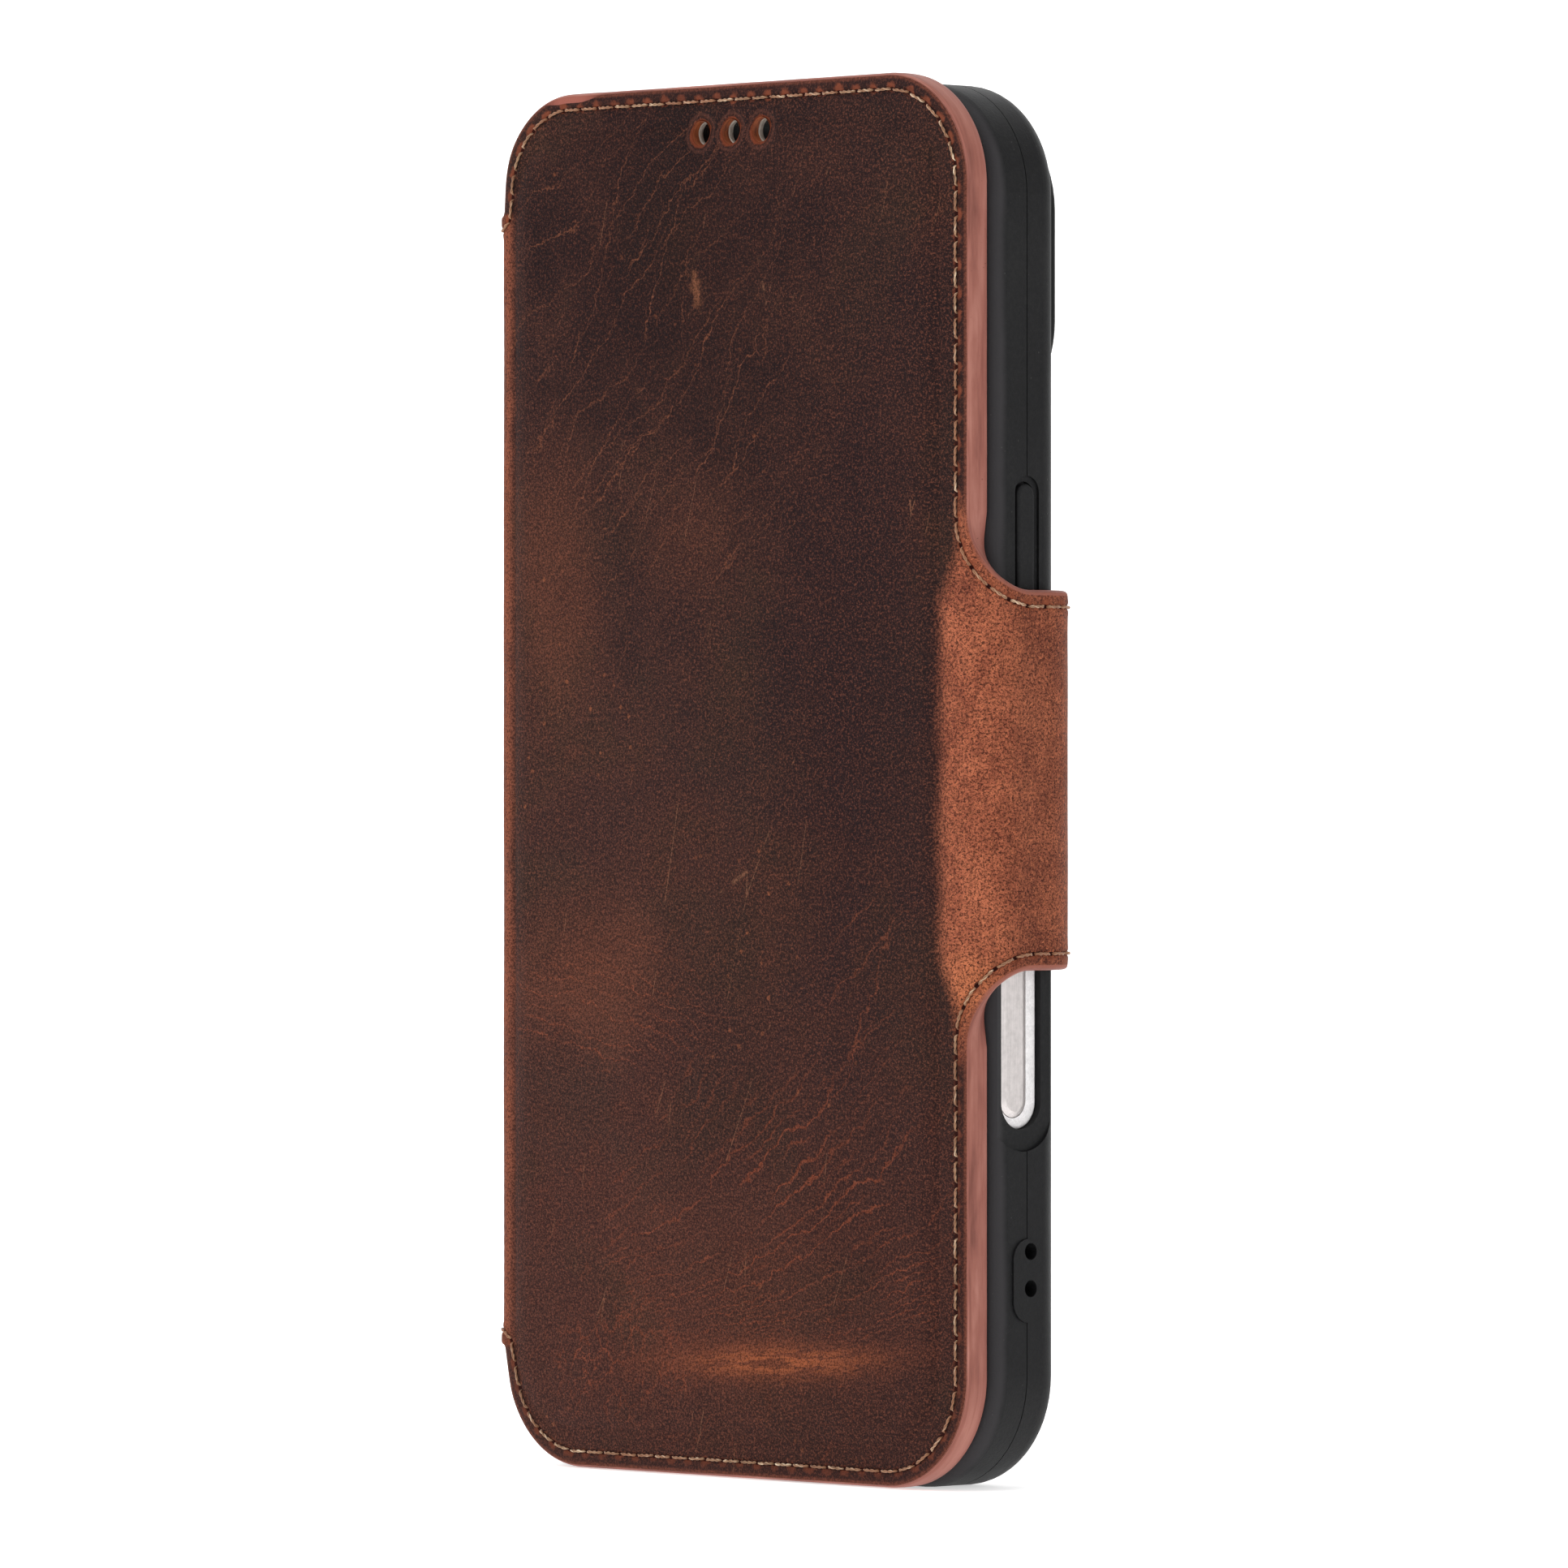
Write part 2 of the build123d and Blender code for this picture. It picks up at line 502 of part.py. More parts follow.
with BuildPart() as card_pocket_rear:
    with BuildSketch(Plane.XZ.offset(-CARD_Y[0])):
        cover_outline(0.0, tab=False)
        box2(-60, CARD_X[0], -10, 200, mode=Mode.SUBTRACT)
        with Locations((CARD_X[0] - 5, COVER_CZ)):
            Circle(10, mode=Mode.SUBTRACT)
        with Locations(*[(x, HOLES_Z) for x in HOLES_X]):
            Circle(HOLES_R, mode=Mode.SUBTRACT)
    extrude(amount=CARD_Y[0] - CASH_Y1)
card_pocket_rear.part.label = "card_pocket_rear"
export_step(card_pocket_rear.part, "parts/card_pocket_rear.step")

with BuildPart() as card_pocket_middle:
    with BuildSketch(Plane.XZ.offset(-CARD_Y[1])):
        cover_outline(0.0, tab=False)
        box2(-60, CARD_X[1], -10, 200, mode=Mode.SUBTRACT)
        with Locations((CARD_X[1] - 5, COVER_CZ)):
            Circle(10, mode=Mode.SUBTRACT)
        with Locations(*[(x, HOLES_Z) for x in HOLES_X]):
            Circle(HOLES_R, mode=Mode.SUBTRACT)
    extrude(amount=CARD_Y[1] - CARD_Y[0])
card_pocket_middle.part.label = "card_pocket_middle"
export_step(card_pocket_middle.part, "parts/card_pocket_middle.step")

with BuildPart() as card_pocket_front:
    with BuildSketch(Plane.XZ.offset(-CARD_Y[2])):
        cover_outline(0.0, tab=False)
        box2(-60, CARD_X[2], -10, 200, mode=Mode.SUBTRACT)
        with Locations((CARD_X[2] - 5, COVER_CZ)):
            Circle(10, mode=Mode.SUBTRACT)
        with Locations(*[(x, HOLES_Z) for x in HOLES_X]):
            Circle(HOLES_R, mode=Mode.SUBTRACT)
        # seats of the two thread rows that end the pockets
        for z in (COVER_CZ - 45.0, COVER_CZ + 45.0):
            box2(CARD_X[2] + 3.0, 36.0, z - STITCH_W / 2, z + STITCH_W / 2, mode=Mode.SUBTRACT)
    extrude(amount=CARD_Y[2] - CARD_Y[1])
card_pocket_front.part.label = "card_pocket_front"
export_step(card_pocket_front.part, "parts/card_pocket_front.step")

with BuildPart() as pocket_stitching:
    with BuildSketch(Plane.XZ.offset(-CARD_Y[2])):
        for z in (COVER_CZ - 45.0, COVER_CZ + 45.0):
            box2(CARD_X[2] + 3.0, 36.0, z - STITCH_W / 2, z + STITCH_W / 2)
    extrude(amount=CARD_Y[2] - CARD_Y[1])
pocket_stitching.part.label = "pocket_stitching"
export_step(pocket_stitching.part, "parts/pocket_stitching.step")

with BuildPart() as cover_stitching:
    with BuildSketch(Plane.XZ.offset(-COVER_Y0)):
        rounded(COVER_CX, COVER_CZ, COVER_W - 2 * STITCH_IN, COVER_H - 2 * STITCH_IN, COVER_R - STITCH_IN)
        rounded(COVER_CX, COVER_CZ, COVER_W - 2 * (STITCH_IN + STITCH_W),
                COVER_H - 2 * (STITCH_IN + STITCH_W), COVER_R - STITCH_IN - STITCH_W, mode=Mode.SUBTRACT)
        box2(-60, -30, COVER_CZ - SPINE_HALF - 1, COVER_CZ + SPINE_HALF + 1, mode=Mode.SUBTRACT)
        box2(30, 60, COVER_CZ - TAB_TOP, COVER_CZ + TAB_TOP, mode=Mode.SUBTRACT)
    extrude(amount=-STITCH_D)
cover_stitching.part.label = "cover_stitching"
export_step(cover_stitching.part, "parts/cover_stitching.step")

# ============================================================ 24-30. clasp
with BuildPart() as clasp_side_leather:
    with BuildSketch(Plane.YZ.offset(SIDE_X - LEATHER)):
        clasp_side_outline()
    extrude(amount=LEATHER)
    # the side's half of the front fold
    with BuildSketch(Plane.XY.offset(COVER_CZ - TAB_TOP)):
        sector(FOLD_X, FOLD_Y, FOLD_R, FOLD_R - LEATHER, 315, 360)
    extrude(amount=2 * TAB_TOP)
    # the side's half of the back fold
    with BuildSketch(Plane.XY.offset(COVER_CZ - TAB_HALF)):
        sector(END_CX, SIDE_Y1, END_R, END_R - LEATHER, 0, 45)
    extrude(amount=2 * TAB_HALF)
    with BuildSketch(Plane.YZ.offset(30)):
        with Locations((Y_FLAT, COVER_CZ - TAB_TOP), (Y_FLAT, COVER_CZ + TAB_TOP)):
            Circle(BLEND_R)
    extrude(amount=20, mode=Mode.SUBTRACT)
    with BuildSketch(Plane.YZ.offset(SIDE_X)):
        for s in (-1, 1):
            z = COVER_CZ + s * (TAB_HALF - STITCH_IN)
            box2(Y_FLAT, SIDE_Y1, z - STITCH_W / 2, z + STITCH_W / 2)
    extrude(amount=-STITCH_D, mode=Mode.SUBTRACT)
clasp_side_leather.part.label = "clasp_side_leather"
export_step(clasp_side_leather.part, "parts/clasp_side_leather.step")

with BuildPart() as clasp_side_lining:
    with BuildSketch(Plane.YZ.offset(SIDE_X - LEATHER - LINING_T)):
        clasp_side_outline()
    extrude(amount=LINING_T)
    with BuildSketch(Plane.XY.offset(COVER_CZ - TAB_HALF)):
        sector(END_CX, SIDE_Y1, END_R - LEATHER, END_R - LEATHER - LINING_T, 0, 45)
    extrude(amount=2 * TAB_HALF)
    with BuildSketch(Plane.YZ.offset(30)):
        with Locations((Y_FLAT, COVER_CZ - TAB_TOP), (Y_FLAT, COVER_CZ + TAB_TOP)):
            Circle(BLEND_R)
    extrude(amount=20, mode=Mode.SUBTRACT)
clasp_side_lining.part.label = "clasp_side_lining"
export_step(clasp_side_lining.part, "parts/clasp_side_lining.step")

with BuildPart() as clasp_side_stitching:
    with BuildSketch(Plane.YZ.offset(SIDE_X)):
        for s in (-1, 1):
            z = COVER_CZ + s * (TAB_HALF - STITCH_IN)
            box2(Y_FLAT, SIDE_Y1, z - STITCH_W / 2, z + STITCH_W / 2)
    extrude(amount=-STITCH_D)
clasp_side_stitching.part.label = "clasp_side_stitching"
export_step(clasp_side_stitching.part, "parts/clasp_side_stitching.step")

with BuildPart() as clasp_end_leather:
    with BuildSketch(Plane.XZ.offset(-(SIDE_Y1 + END_R))):
        clasp_end_outline()
    extrude(amount=LEATHER)
    with BuildSketch(Plane.XY.offset(COVER_CZ - TAB_HALF)):
        sector(END_CX, SIDE_Y1, END_R, END_R - LEATHER, 45, 90)
    extrude(amount=2 * TAB_HALF)
    with BuildSketch(Plane.XZ.offset(-(SIDE_Y1 + END_R - LEATHER + 0.45))):
        with Locations(*[(MAGNET_X, z) for z in MAGNET_Z]):
            Circle(MAGNET_R + 0.05)
    extrude(amount=0.45, mode=Mode.SUBTRACT)
    with BuildSketch(Plane.XZ.offset(-(SIDE_Y1 + END_R))):
        rounded(END_CX, COVER_CZ, 2 * (END_CX - END_X0) - 2 * STITCH_IN,
                2 * TAB_HALF - 2 * STITCH_IN, END_CORNER - STITCH_IN)
        rounded(END_CX, COVER_CZ, 2 * (END_CX - END_X0) - 2 * (STITCH_IN + STITCH_W),
                2 * TAB_HALF - 2 * (STITCH_IN + STITCH_W), END_CORNER - STITCH_IN - STITCH_W,
                mode=Mode.SUBTRACT)
        box2(END_CX, 80, 20, 140, mode=Mode.SUBTRACT)
    extrude(amount=STITCH_D, mode=Mode.SUBTRACT)
clasp_end_leather.part.label = "clasp_end_leather"
export_step(clasp_end_leather.part, "parts/clasp_end_leather.step")

with BuildPart() as clasp_end_lining:
    with BuildSketch(Plane.XZ.offset(-(SIDE_Y1 + END_R - LEATHER))):
        clasp_end_outline()
    extrude(amount=LINING_T)
    with BuildSketch(Plane.XY.offset(COVER_CZ - TAB_HALF)):
        sector(END_CX, SIDE_Y1, END_R - LEATHER, END_R - LEATHER - LINING_T, 45, 90)
    extrude(amount=2 * TAB_HALF)
    with BuildSketch(Plane.XZ.offset(-(SIDE_Y1 + END_R - LEATHER))):
        with Locations(*[(MAGNET_X, z) for z in MAGNET_Z]):
            Circle(MAGNET_R + 0.05)
    extrude(amount=0.45, mode=Mode.SUBTRACT)
clasp_end_lining.part.label = "clasp_end_lining"
export_step(clasp_end_lining.part, "parts/clasp_end_lining.step")

with BuildPart() as clasp_magnets:
    with BuildSketch(Plane.XZ.offset(-(SIDE_Y1 + END_R - LEATHER + 0.45))):
        with Locations(*[(MAGNET_X, z) for z in MAGNET_Z]):
            Circle(MAGNET_R)
    extrude(amount=0.9)
clasp_magnets.part.label = "clasp_magnets"
export_step(clasp_magnets.part, "parts/clasp_magnets.step")

with BuildPart() as clasp_end_stitching:
    with BuildSketch(Plane.XZ.offset(-(SIDE_Y1 + END_R))):
        rounded(END_CX, COVER_CZ, 2 * (END_CX - END_X0) - 2 * STITCH_IN,
                2 * TAB_HALF - 2 * STITCH_IN, END_CORNER - STITCH_IN)
        rounded(END_CX, COVER_CZ, 2 * (END_CX - END_X0) - 2 * (STITCH_IN + STITCH_W),
                2 * TAB_HALF - 2 * (STITCH_IN + STITCH_W), END_CORNER - STITCH_IN - STITCH_W,
                mode=Mode.SUBTRACT)
        box2(END_CX, 80, 20, 140, mode=Mode.SUBTRACT)
    extrude(amount=STITCH_D)
clasp_end_stitching.part.label = "clasp_end_stitching"
export_step(clasp_end_stitching.part, "parts/clasp_end_stitching.step")
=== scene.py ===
import math
import random

import bpy
import numpy as np
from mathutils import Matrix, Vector
from mathutils.geometry import delaunay_2d_cdt


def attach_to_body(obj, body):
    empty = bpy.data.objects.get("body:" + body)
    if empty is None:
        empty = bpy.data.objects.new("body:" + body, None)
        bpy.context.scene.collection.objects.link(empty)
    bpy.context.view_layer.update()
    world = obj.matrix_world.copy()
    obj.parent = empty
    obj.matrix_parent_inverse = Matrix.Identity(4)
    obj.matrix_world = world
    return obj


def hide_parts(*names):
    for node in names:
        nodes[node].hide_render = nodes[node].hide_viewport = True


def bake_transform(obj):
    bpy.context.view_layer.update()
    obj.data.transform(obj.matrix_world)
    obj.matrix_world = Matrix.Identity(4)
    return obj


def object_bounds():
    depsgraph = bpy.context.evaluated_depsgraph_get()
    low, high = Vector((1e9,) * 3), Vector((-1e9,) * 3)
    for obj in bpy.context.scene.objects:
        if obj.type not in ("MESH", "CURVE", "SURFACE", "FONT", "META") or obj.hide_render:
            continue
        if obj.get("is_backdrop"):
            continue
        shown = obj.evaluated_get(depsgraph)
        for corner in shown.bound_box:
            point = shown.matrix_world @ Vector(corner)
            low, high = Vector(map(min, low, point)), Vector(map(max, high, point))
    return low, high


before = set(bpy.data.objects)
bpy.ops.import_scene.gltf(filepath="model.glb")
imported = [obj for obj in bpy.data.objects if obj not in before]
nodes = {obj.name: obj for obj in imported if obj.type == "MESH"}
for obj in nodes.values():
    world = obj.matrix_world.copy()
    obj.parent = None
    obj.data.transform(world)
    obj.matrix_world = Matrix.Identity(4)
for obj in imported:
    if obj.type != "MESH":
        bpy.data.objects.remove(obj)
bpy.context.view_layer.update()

MM = 0.001
rng = np.random.default_rng(7)
random.seed(7)

# ------------------------------------------------------------------ camera
AZ = math.radians(45.9)
AIM = Vector((-0.00006, -0.00006, 0.08355))
DIST = 1.290
cam_data = bpy.data.cameras.new("camera")
cam_data.sensor_width = 36.0
cam_data.lens = 245.0
cam_data.clip_start = 0.01
cam_data.clip_end = 20.0
cam = bpy.data.objects.new("camera", cam_data)
cam.location = AIM + DIST * Vector((math.sin(AZ), -math.cos(AZ), 0.0))
cam.rotation_euler = (math.radians(90.0), 0.0, AZ)
bpy.context.scene.collection.objects.link(cam)
bpy.context.scene.camera = cam

# ------------------------------------------------- flat pattern to 3-D shape
# The leather is one cut piece that wraps the case.  s runs along the wrap from
# the back panel's free edge (s = -135) over the spine, the front cover and the
# clasp to its end (s = 85), zp is the height from the middle of the case, and
# off is how far outside the leather's outer face a point lies.  Millimetres.
ZC = 84.0
L_R, L_X = 4.0, -38.8          # fold radius and start on the left
S_A = 38.8                     # front left fold starts
S_B = S_A + L_R * math.pi / 2  # 45.083
S_C = S_B + 8.4                # 53.483
S_D = S_C + L_R * math.pi / 2  # 59.766
T_R, T_X, T_Y = 6.3, 36.5, -2.7    # soft bend into the clasp's side
C_R, C_X, C_Y = 7.1, 35.7, 2.3     # bend onto the back
R_A = T_X
R_B = R_A + T_R * math.pi / 2
R_C = R_B + (C_Y - T_Y)
R_D = R_C + C_R * math.pi / 2
S_END = R_D + 22.7


def sstep(a, b, x):
    t = np.clip((np.asarray(x, float) - a) / (b - a), 0.0, 1.0)
    return t * t * (3.0 - 2.0 * t)


def base(s, zp):
    """x, y of the leather's outer face, without offset."""
    s = np.asarray(s, float)
    zp = np.asarray(zp, float)
    x = s.copy()
    y = np.full_like(s, -9.0)
    q = -s
    # left side
    th = np.clip((q - S_A) / L_R, 0, math.pi / 2)
    m = q > S_A
    xl = np.where(m, L_X - L_R * np.sin(th), s)
    yl = np.where(m, -5.0 - L_R * np.cos(th), -9.0)
    m = q > S_B
    yl = np.where(m, -5.0 + (q - S_B), yl)
    th2 = np.clip((q - S_C) / L_R, 0, math.pi / 2)
    m2 = q > S_C
    xl = np.where(m2, L_X - L_R * np.cos(th2), xl)
    yl = np.where(m2, 3.4 + L_R * np.sin(th2), yl)
    m3 = q > S_D
    xl = np.where(m3, L_X + (q - S_D), xl)
    yl = np.where(m3, 7.4, yl)
    # the corner beside each notch stays flat, like an ear
    e0, er = 40.3, 2.5
    th = np.clip((q - e0) / er, 0, math.pi / 2)
    xe = np.where(q > e0, -e0 - er * np.sin(th), s)
    ye = np.where(q > e0, -9.0 + er - er * np.cos(th), -9.0)
    e1 = e0 + er * math.pi / 2
    ye = np.where(q > e1, -9.0 + er + (q - e1), ye)
    w = 0.5 * sstep(66.3, 69.3, np.abs(zp)) * (1.0 - sstep(44.5, 51.0, q))
    w = np.where(q > S_A, w, 0.0)
    xl2 = xl * (1 - w) + xe * w
    yl2 = yl * (1 - w) + ye * w
    left = s < 0
    x = np.where(left, xl2, x)
    y = np.where(left, yl2, y)
    # right side
    th = np.clip((s - R_A) / T_R, 0, math.pi / 2)
    xr = np.where(s > R_A, T_X + T_R * np.sin(th), s)
    yr = np.where(s > R_A, T_Y - T_R * np.cos(th), -9.0)
    yr = np.where(s > R_B, T_Y + (s - R_B), yr)
    th2 = np.clip((s - R_C) / C_R, 0, math.pi / 2)
    xr = np.where(s > R_C, C_X + C_R * np.cos(th2), xr)
    yr = np.where(s > R_C, C_Y + C_R * np.sin(th2), yr)
    xr = np.where(s > R_D, C_X - (s - R_D), xr)
    yr = np.where(s > R_D, 9.4, yr)
    wt = 1.0 - sstep(24.5, 31.8, np.abs(zp)) * (1.0 - sstep(44.0, 48.0, s))
    xr2 = xr * wt + s * (1 - wt)
    yr2 = yr * wt + (-9.0) * (1 - wt)
    x = np.where(left, x, xr2)
    y = np.where(left, y, yr2)
    return x, y


def place(s, zp, off):
    """Points in millimetres on the wrapped pattern, off outside the outer face."""
    s = np.asarray(s, float)
    zp = np.asarray(zp, float)
    off = np.asarray(off, float)
    e = 0.02
    x, y = base(s, zp)
    xa, ya = base(s - e, zp)
    xb, yb = base(s + e, zp)
    xc, yc = base(s, zp - e)
    xd, yd = base(s, zp + e)
    ts = np.stack([(xb - xa), (yb - ya), np.zeros_like(xa)], -1) / (2 * e)
    tz = np.stack([(xd - xc), (yd - yc), np.full_like(xa, 2 * e)], -1) / (2 * e)
    n = np.cross(ts, tz)
    n /= np.linalg.norm(n, axis=-1, keepdims=True) + 1e-12
    p = np.stack([x, y, zp + ZC], -1)
    return p + n * off[..., None]


# -------------------------------------------------------- cut outline, rings
OUTLINE = [  # s, zp, corner radius; anticlockwise
    (-134.97, 0.0, 0.0), (-134.97, -79.7, 11.0), (-61.07, -79.7, 8.6), (-61.07, -69.5, 1.5),
    (-40.7, -69.5, 0.7), (-37.3, -83.75, 13.0), (40.1, -83.75, 13.5), (40.1, -22.35, 8.5),
    (S_END, -22.35, 6.0), (S_END, 22.35, 6.0), (40.1, 22.35, 8.5), (40.1, 83.75, 13.5),
    (-39.5, 83.75, 12.0), (-40.9, 69.5, 0.7), (-61.07, 69.5, 1.5), (-61.07, 78.5, 7.4),
    (-97.57, 78.5, 3.0), (-97.57, 41.8, 12.8), (-134.97, 41.8, 4.0),
]


def ring(outline, d, step):
    """The outline moved inwards by d, sampled the same way for every d."""
    n = len(outline)
    P = np.array([(a, b) for a, b, _ in outline], float)
    R = [c for _, _, c in outline]
    dirs, lens = [], []
    for i in range(n):
        v = P[(i + 1) % n] - P[i]
        lens.append(float(np.hypot(*v)))
        dirs.append(v / lens[-1])
    moved, turn = [], []
    for i in range(n):
        a, b = dirs[i - 1], dirs[i]
        na, nb = np.array([-a[1], a[0]]), np.array([-b[1], b[0]])
        cross = a[0] * b[1] - a[1] * b[0]
        turn.append(cross)
        if abs(cross) < 1e-9:
            moved.append(P[i] + na * d)
        else:
            A = np.array([na, nb])
            moved.append(P[i] + np.linalg.solve(A, np.array([d, d])))
    out, where = [], []
    ang = [0.0] * n
    rad = [0.0] * n
    cut = [0.0] * n
    for i in range(n):
        if R[i] > 0 and abs(turn[i]) > 1e-9:
            r = R[i] - d if turn[i] > 0 else R[i] + d
            rad[i] = max(r, 0.02)
            a, b = dirs[i - 1], dirs[i]
            ang[i] = math.acos(max(-1, min(1, float(a @ b))))
            cut[i] = rad[i] * math.tan(ang[i] / 2)
    for i in range(n):
        a, b = dirs[i - 1], dirs[i]
        if rad[i] > 0:
            k = max(4, int(round((R[i] + 1.2) * ang[i] / step)))
            na = np.array([-a[1], a[0]])
            sgn = 1.0 if turn[i] > 0 else -1.0
            start = moved[i] - a * cut[i]
            c = start + na * rad[i] * sgn
            r0 = start - c
            for j in range(k + 1):
                t = sgn * ang[i] * j / k
                ca, sa = math.cos(t), math.sin(t)
                out.append(c + np.array([r0[0] * ca - r0[1] * sa, r0[0] * sa + r0[1] * ca]))
        else:
            out.append(moved[i])
        j = (i + 1) % n
        a0 = moved[i] + b * cut[i]
        a1 = moved[j] - b * cut[j]
        nominal = lens[i] - (R[i] if R[i] > 0 else 0) - (R[j] if R[j] > 0 else 0)
        k = max(1, int(round(max(nominal, 0.3) / step)))
        for q in range(1, k):
            out.append(a0 + (a1 - a0) * q / k)
    return np.array(out)


STEP = 0.34
D_RINGS = [0.0, 0.012, 0.05, 0.14, 0.30, 0.55, 0.90, 1.20, 1.40, 1.55, 1.67, 1.76,
           1.85, 1.94, 2.03, 2.15, 2.30, 2.55, 2.95, 3.45]
rings = [ring(OUTLINE, d, STEP) for d in D_RINGS]
NR = len(rings[0])
DS = 1.85                       # the stitches' distance from the edge
row = ring(OUTLINE, DS, STEP)
seg = np.hypot(*(np.roll(row, -1, 0) - row).T)
arc = np.concatenate([[0], np.cumsum(seg)[:-1]])
ROW_LEN = float(seg.sum())
PITCH = ROW_LEN / round(ROW_LEN / 3.0)


def hnoise(p, scale, seed=0.0):
    """Smooth repeatable noise, -1 to 1, for arrays of points (n, 2 or 3)."""
    p = np.asarray(p, float) * scale + seed
    if p.shape[-1] == 2:
        p = np.concatenate([p, np.full(p.shape[:-1] + (1,), seed * 1.7)], -1)
    i = np.floor(p).astype(np.int64)
    f = p - i
    u = f * f * f * (f * (f * 6 - 15) + 10)
    tot = np.zeros(p.shape[:-1])
    for dx in (0, 1):
        for dy in (0, 1):
            for dz in (0, 1):
                k = (i + np.array([dx, dy, dz]))
                h = (k[..., 0] * 73856093) ^ (k[..., 1] * 19349663) ^ (k[..., 2] * 83492791)
                h = (h ^ (h >> 13)) * 1274126177 & 0x7FFFFFFF
                h = (h ^ (h >> 16)) & 0xFFFF
                v = h / 32767.5 - 1.0
                w = (u[..., 0] if dx else 1 - u[..., 0]) * (u[..., 1] if dy else 1 - u[..., 1]) \
                    * (u[..., 2] if dz else 1 - u[..., 2])
                tot += v * w
    return tot


def sd_rr(x, z, x0, x1, z0, z1, r):
    cx, hx = (x0 + x1) / 2, (x1 - x0) / 2
    cz, hz = (z0 + z1) / 2, (z1 - z0) / 2
    qx = np.abs(x - cx) - (hx - r)
    qz = np.abs(z - cz) - (hz - r)
    return -(np.minimum(np.maximum(qx, qz), 0) + np.hypot(np.maximum(qx, 0), np.maximum(qz, 0)) - r)


HOLES = [(-5.2, 78.05), (0.0, 78.05), (5.2, 78.05)]
HOLE_R = 1.5
EDGE_D = np.array([0.0, 0.012, 0.05, 0.14, 0.30, 0.55, 0.90, 200.0])
EDGE_O = np.array([-0.95, -0.55, -0.30, -0.15, -0.06, -0.015, 0.0, 0.0])


def leather_off(s, zp, d, a):
    """Height of the leather's face over the plain wrap."""
    off = np.interp(d, EDGE_D, EDGE_O)
    # sewn channel and the holes the needle made in it
    near = np.abs(d - DS)
    off = off - 0.10 * np.exp(-(near / 0.34) ** 2)
    m = np.abs(((a / PITCH + 0.5) % 1.0) - 0.5) * PITCH
    off = off - 0.22 * np.exp(-(m / 0.42) ** 2 - (near / 0.24) ** 2)
    off = off + 0.05 * np.exp(-(m / 0.8) ** 2) * np.exp(-((near - 0.55) / 0.3) ** 2)
    # padding under the front
    c = sd_rr(s, zp, -38.3, 35.25, -78.9, 78.9, 9.0)
    t = np.clip(c / 3.4, 0, 1)
    crown = 0.40 * (1 - (1 - t) ** 2.3) * (c > 0)
    crease = -0.06 * np.exp(-(c / 0.45) ** 2)
    onfront = (s > -41.6) & (s < 40.5)
    off = off + np.where(onfront, crown + crease, 0.0)
    p = np.stack([s, zp], -1)
    soft = np.clip((d - 2.6) / 3.0, 0, 1)
    lump = 0.030 * hnoise(p, 1 / 17.0, 3.1) + 0.018 * hnoise(p, 1 / 7.0, 9.4)
    off = off + lump * soft * np.where(s < -62, 0.4, 1.0)
    # pressed edge of the speaker holes
    for hx, hz in HOLES:
        r = np.hypot(s - hx, zp - hz)
        off = off - 0.30 * np.exp(-np.clip(r - HOLE_R, 0, 9) / 0.16) \
            - 0.10 * np.exp(-((r - 2.25) / 0.30) ** 2)
    return off


# -------------------------------------------------------- the whole mesh, flat
def inside_poly(pts, poly):
    x, y = pts[:, 0], pts[:, 1]
    res = np.zeros(len(pts), bool)
    px, py = poly[:, 0], poly[:, 1]
    qx, qy = np.roll(px, -1), np.roll(py, -1)
    for a, b, c, dd in zip(px, py, qx, qy):
        if b == dd:
            continue
        cond = ((b > y) != (dd > y)) & (x < (c - a) * (y - b) / (dd - b) + a)
        res ^= cond
    return res


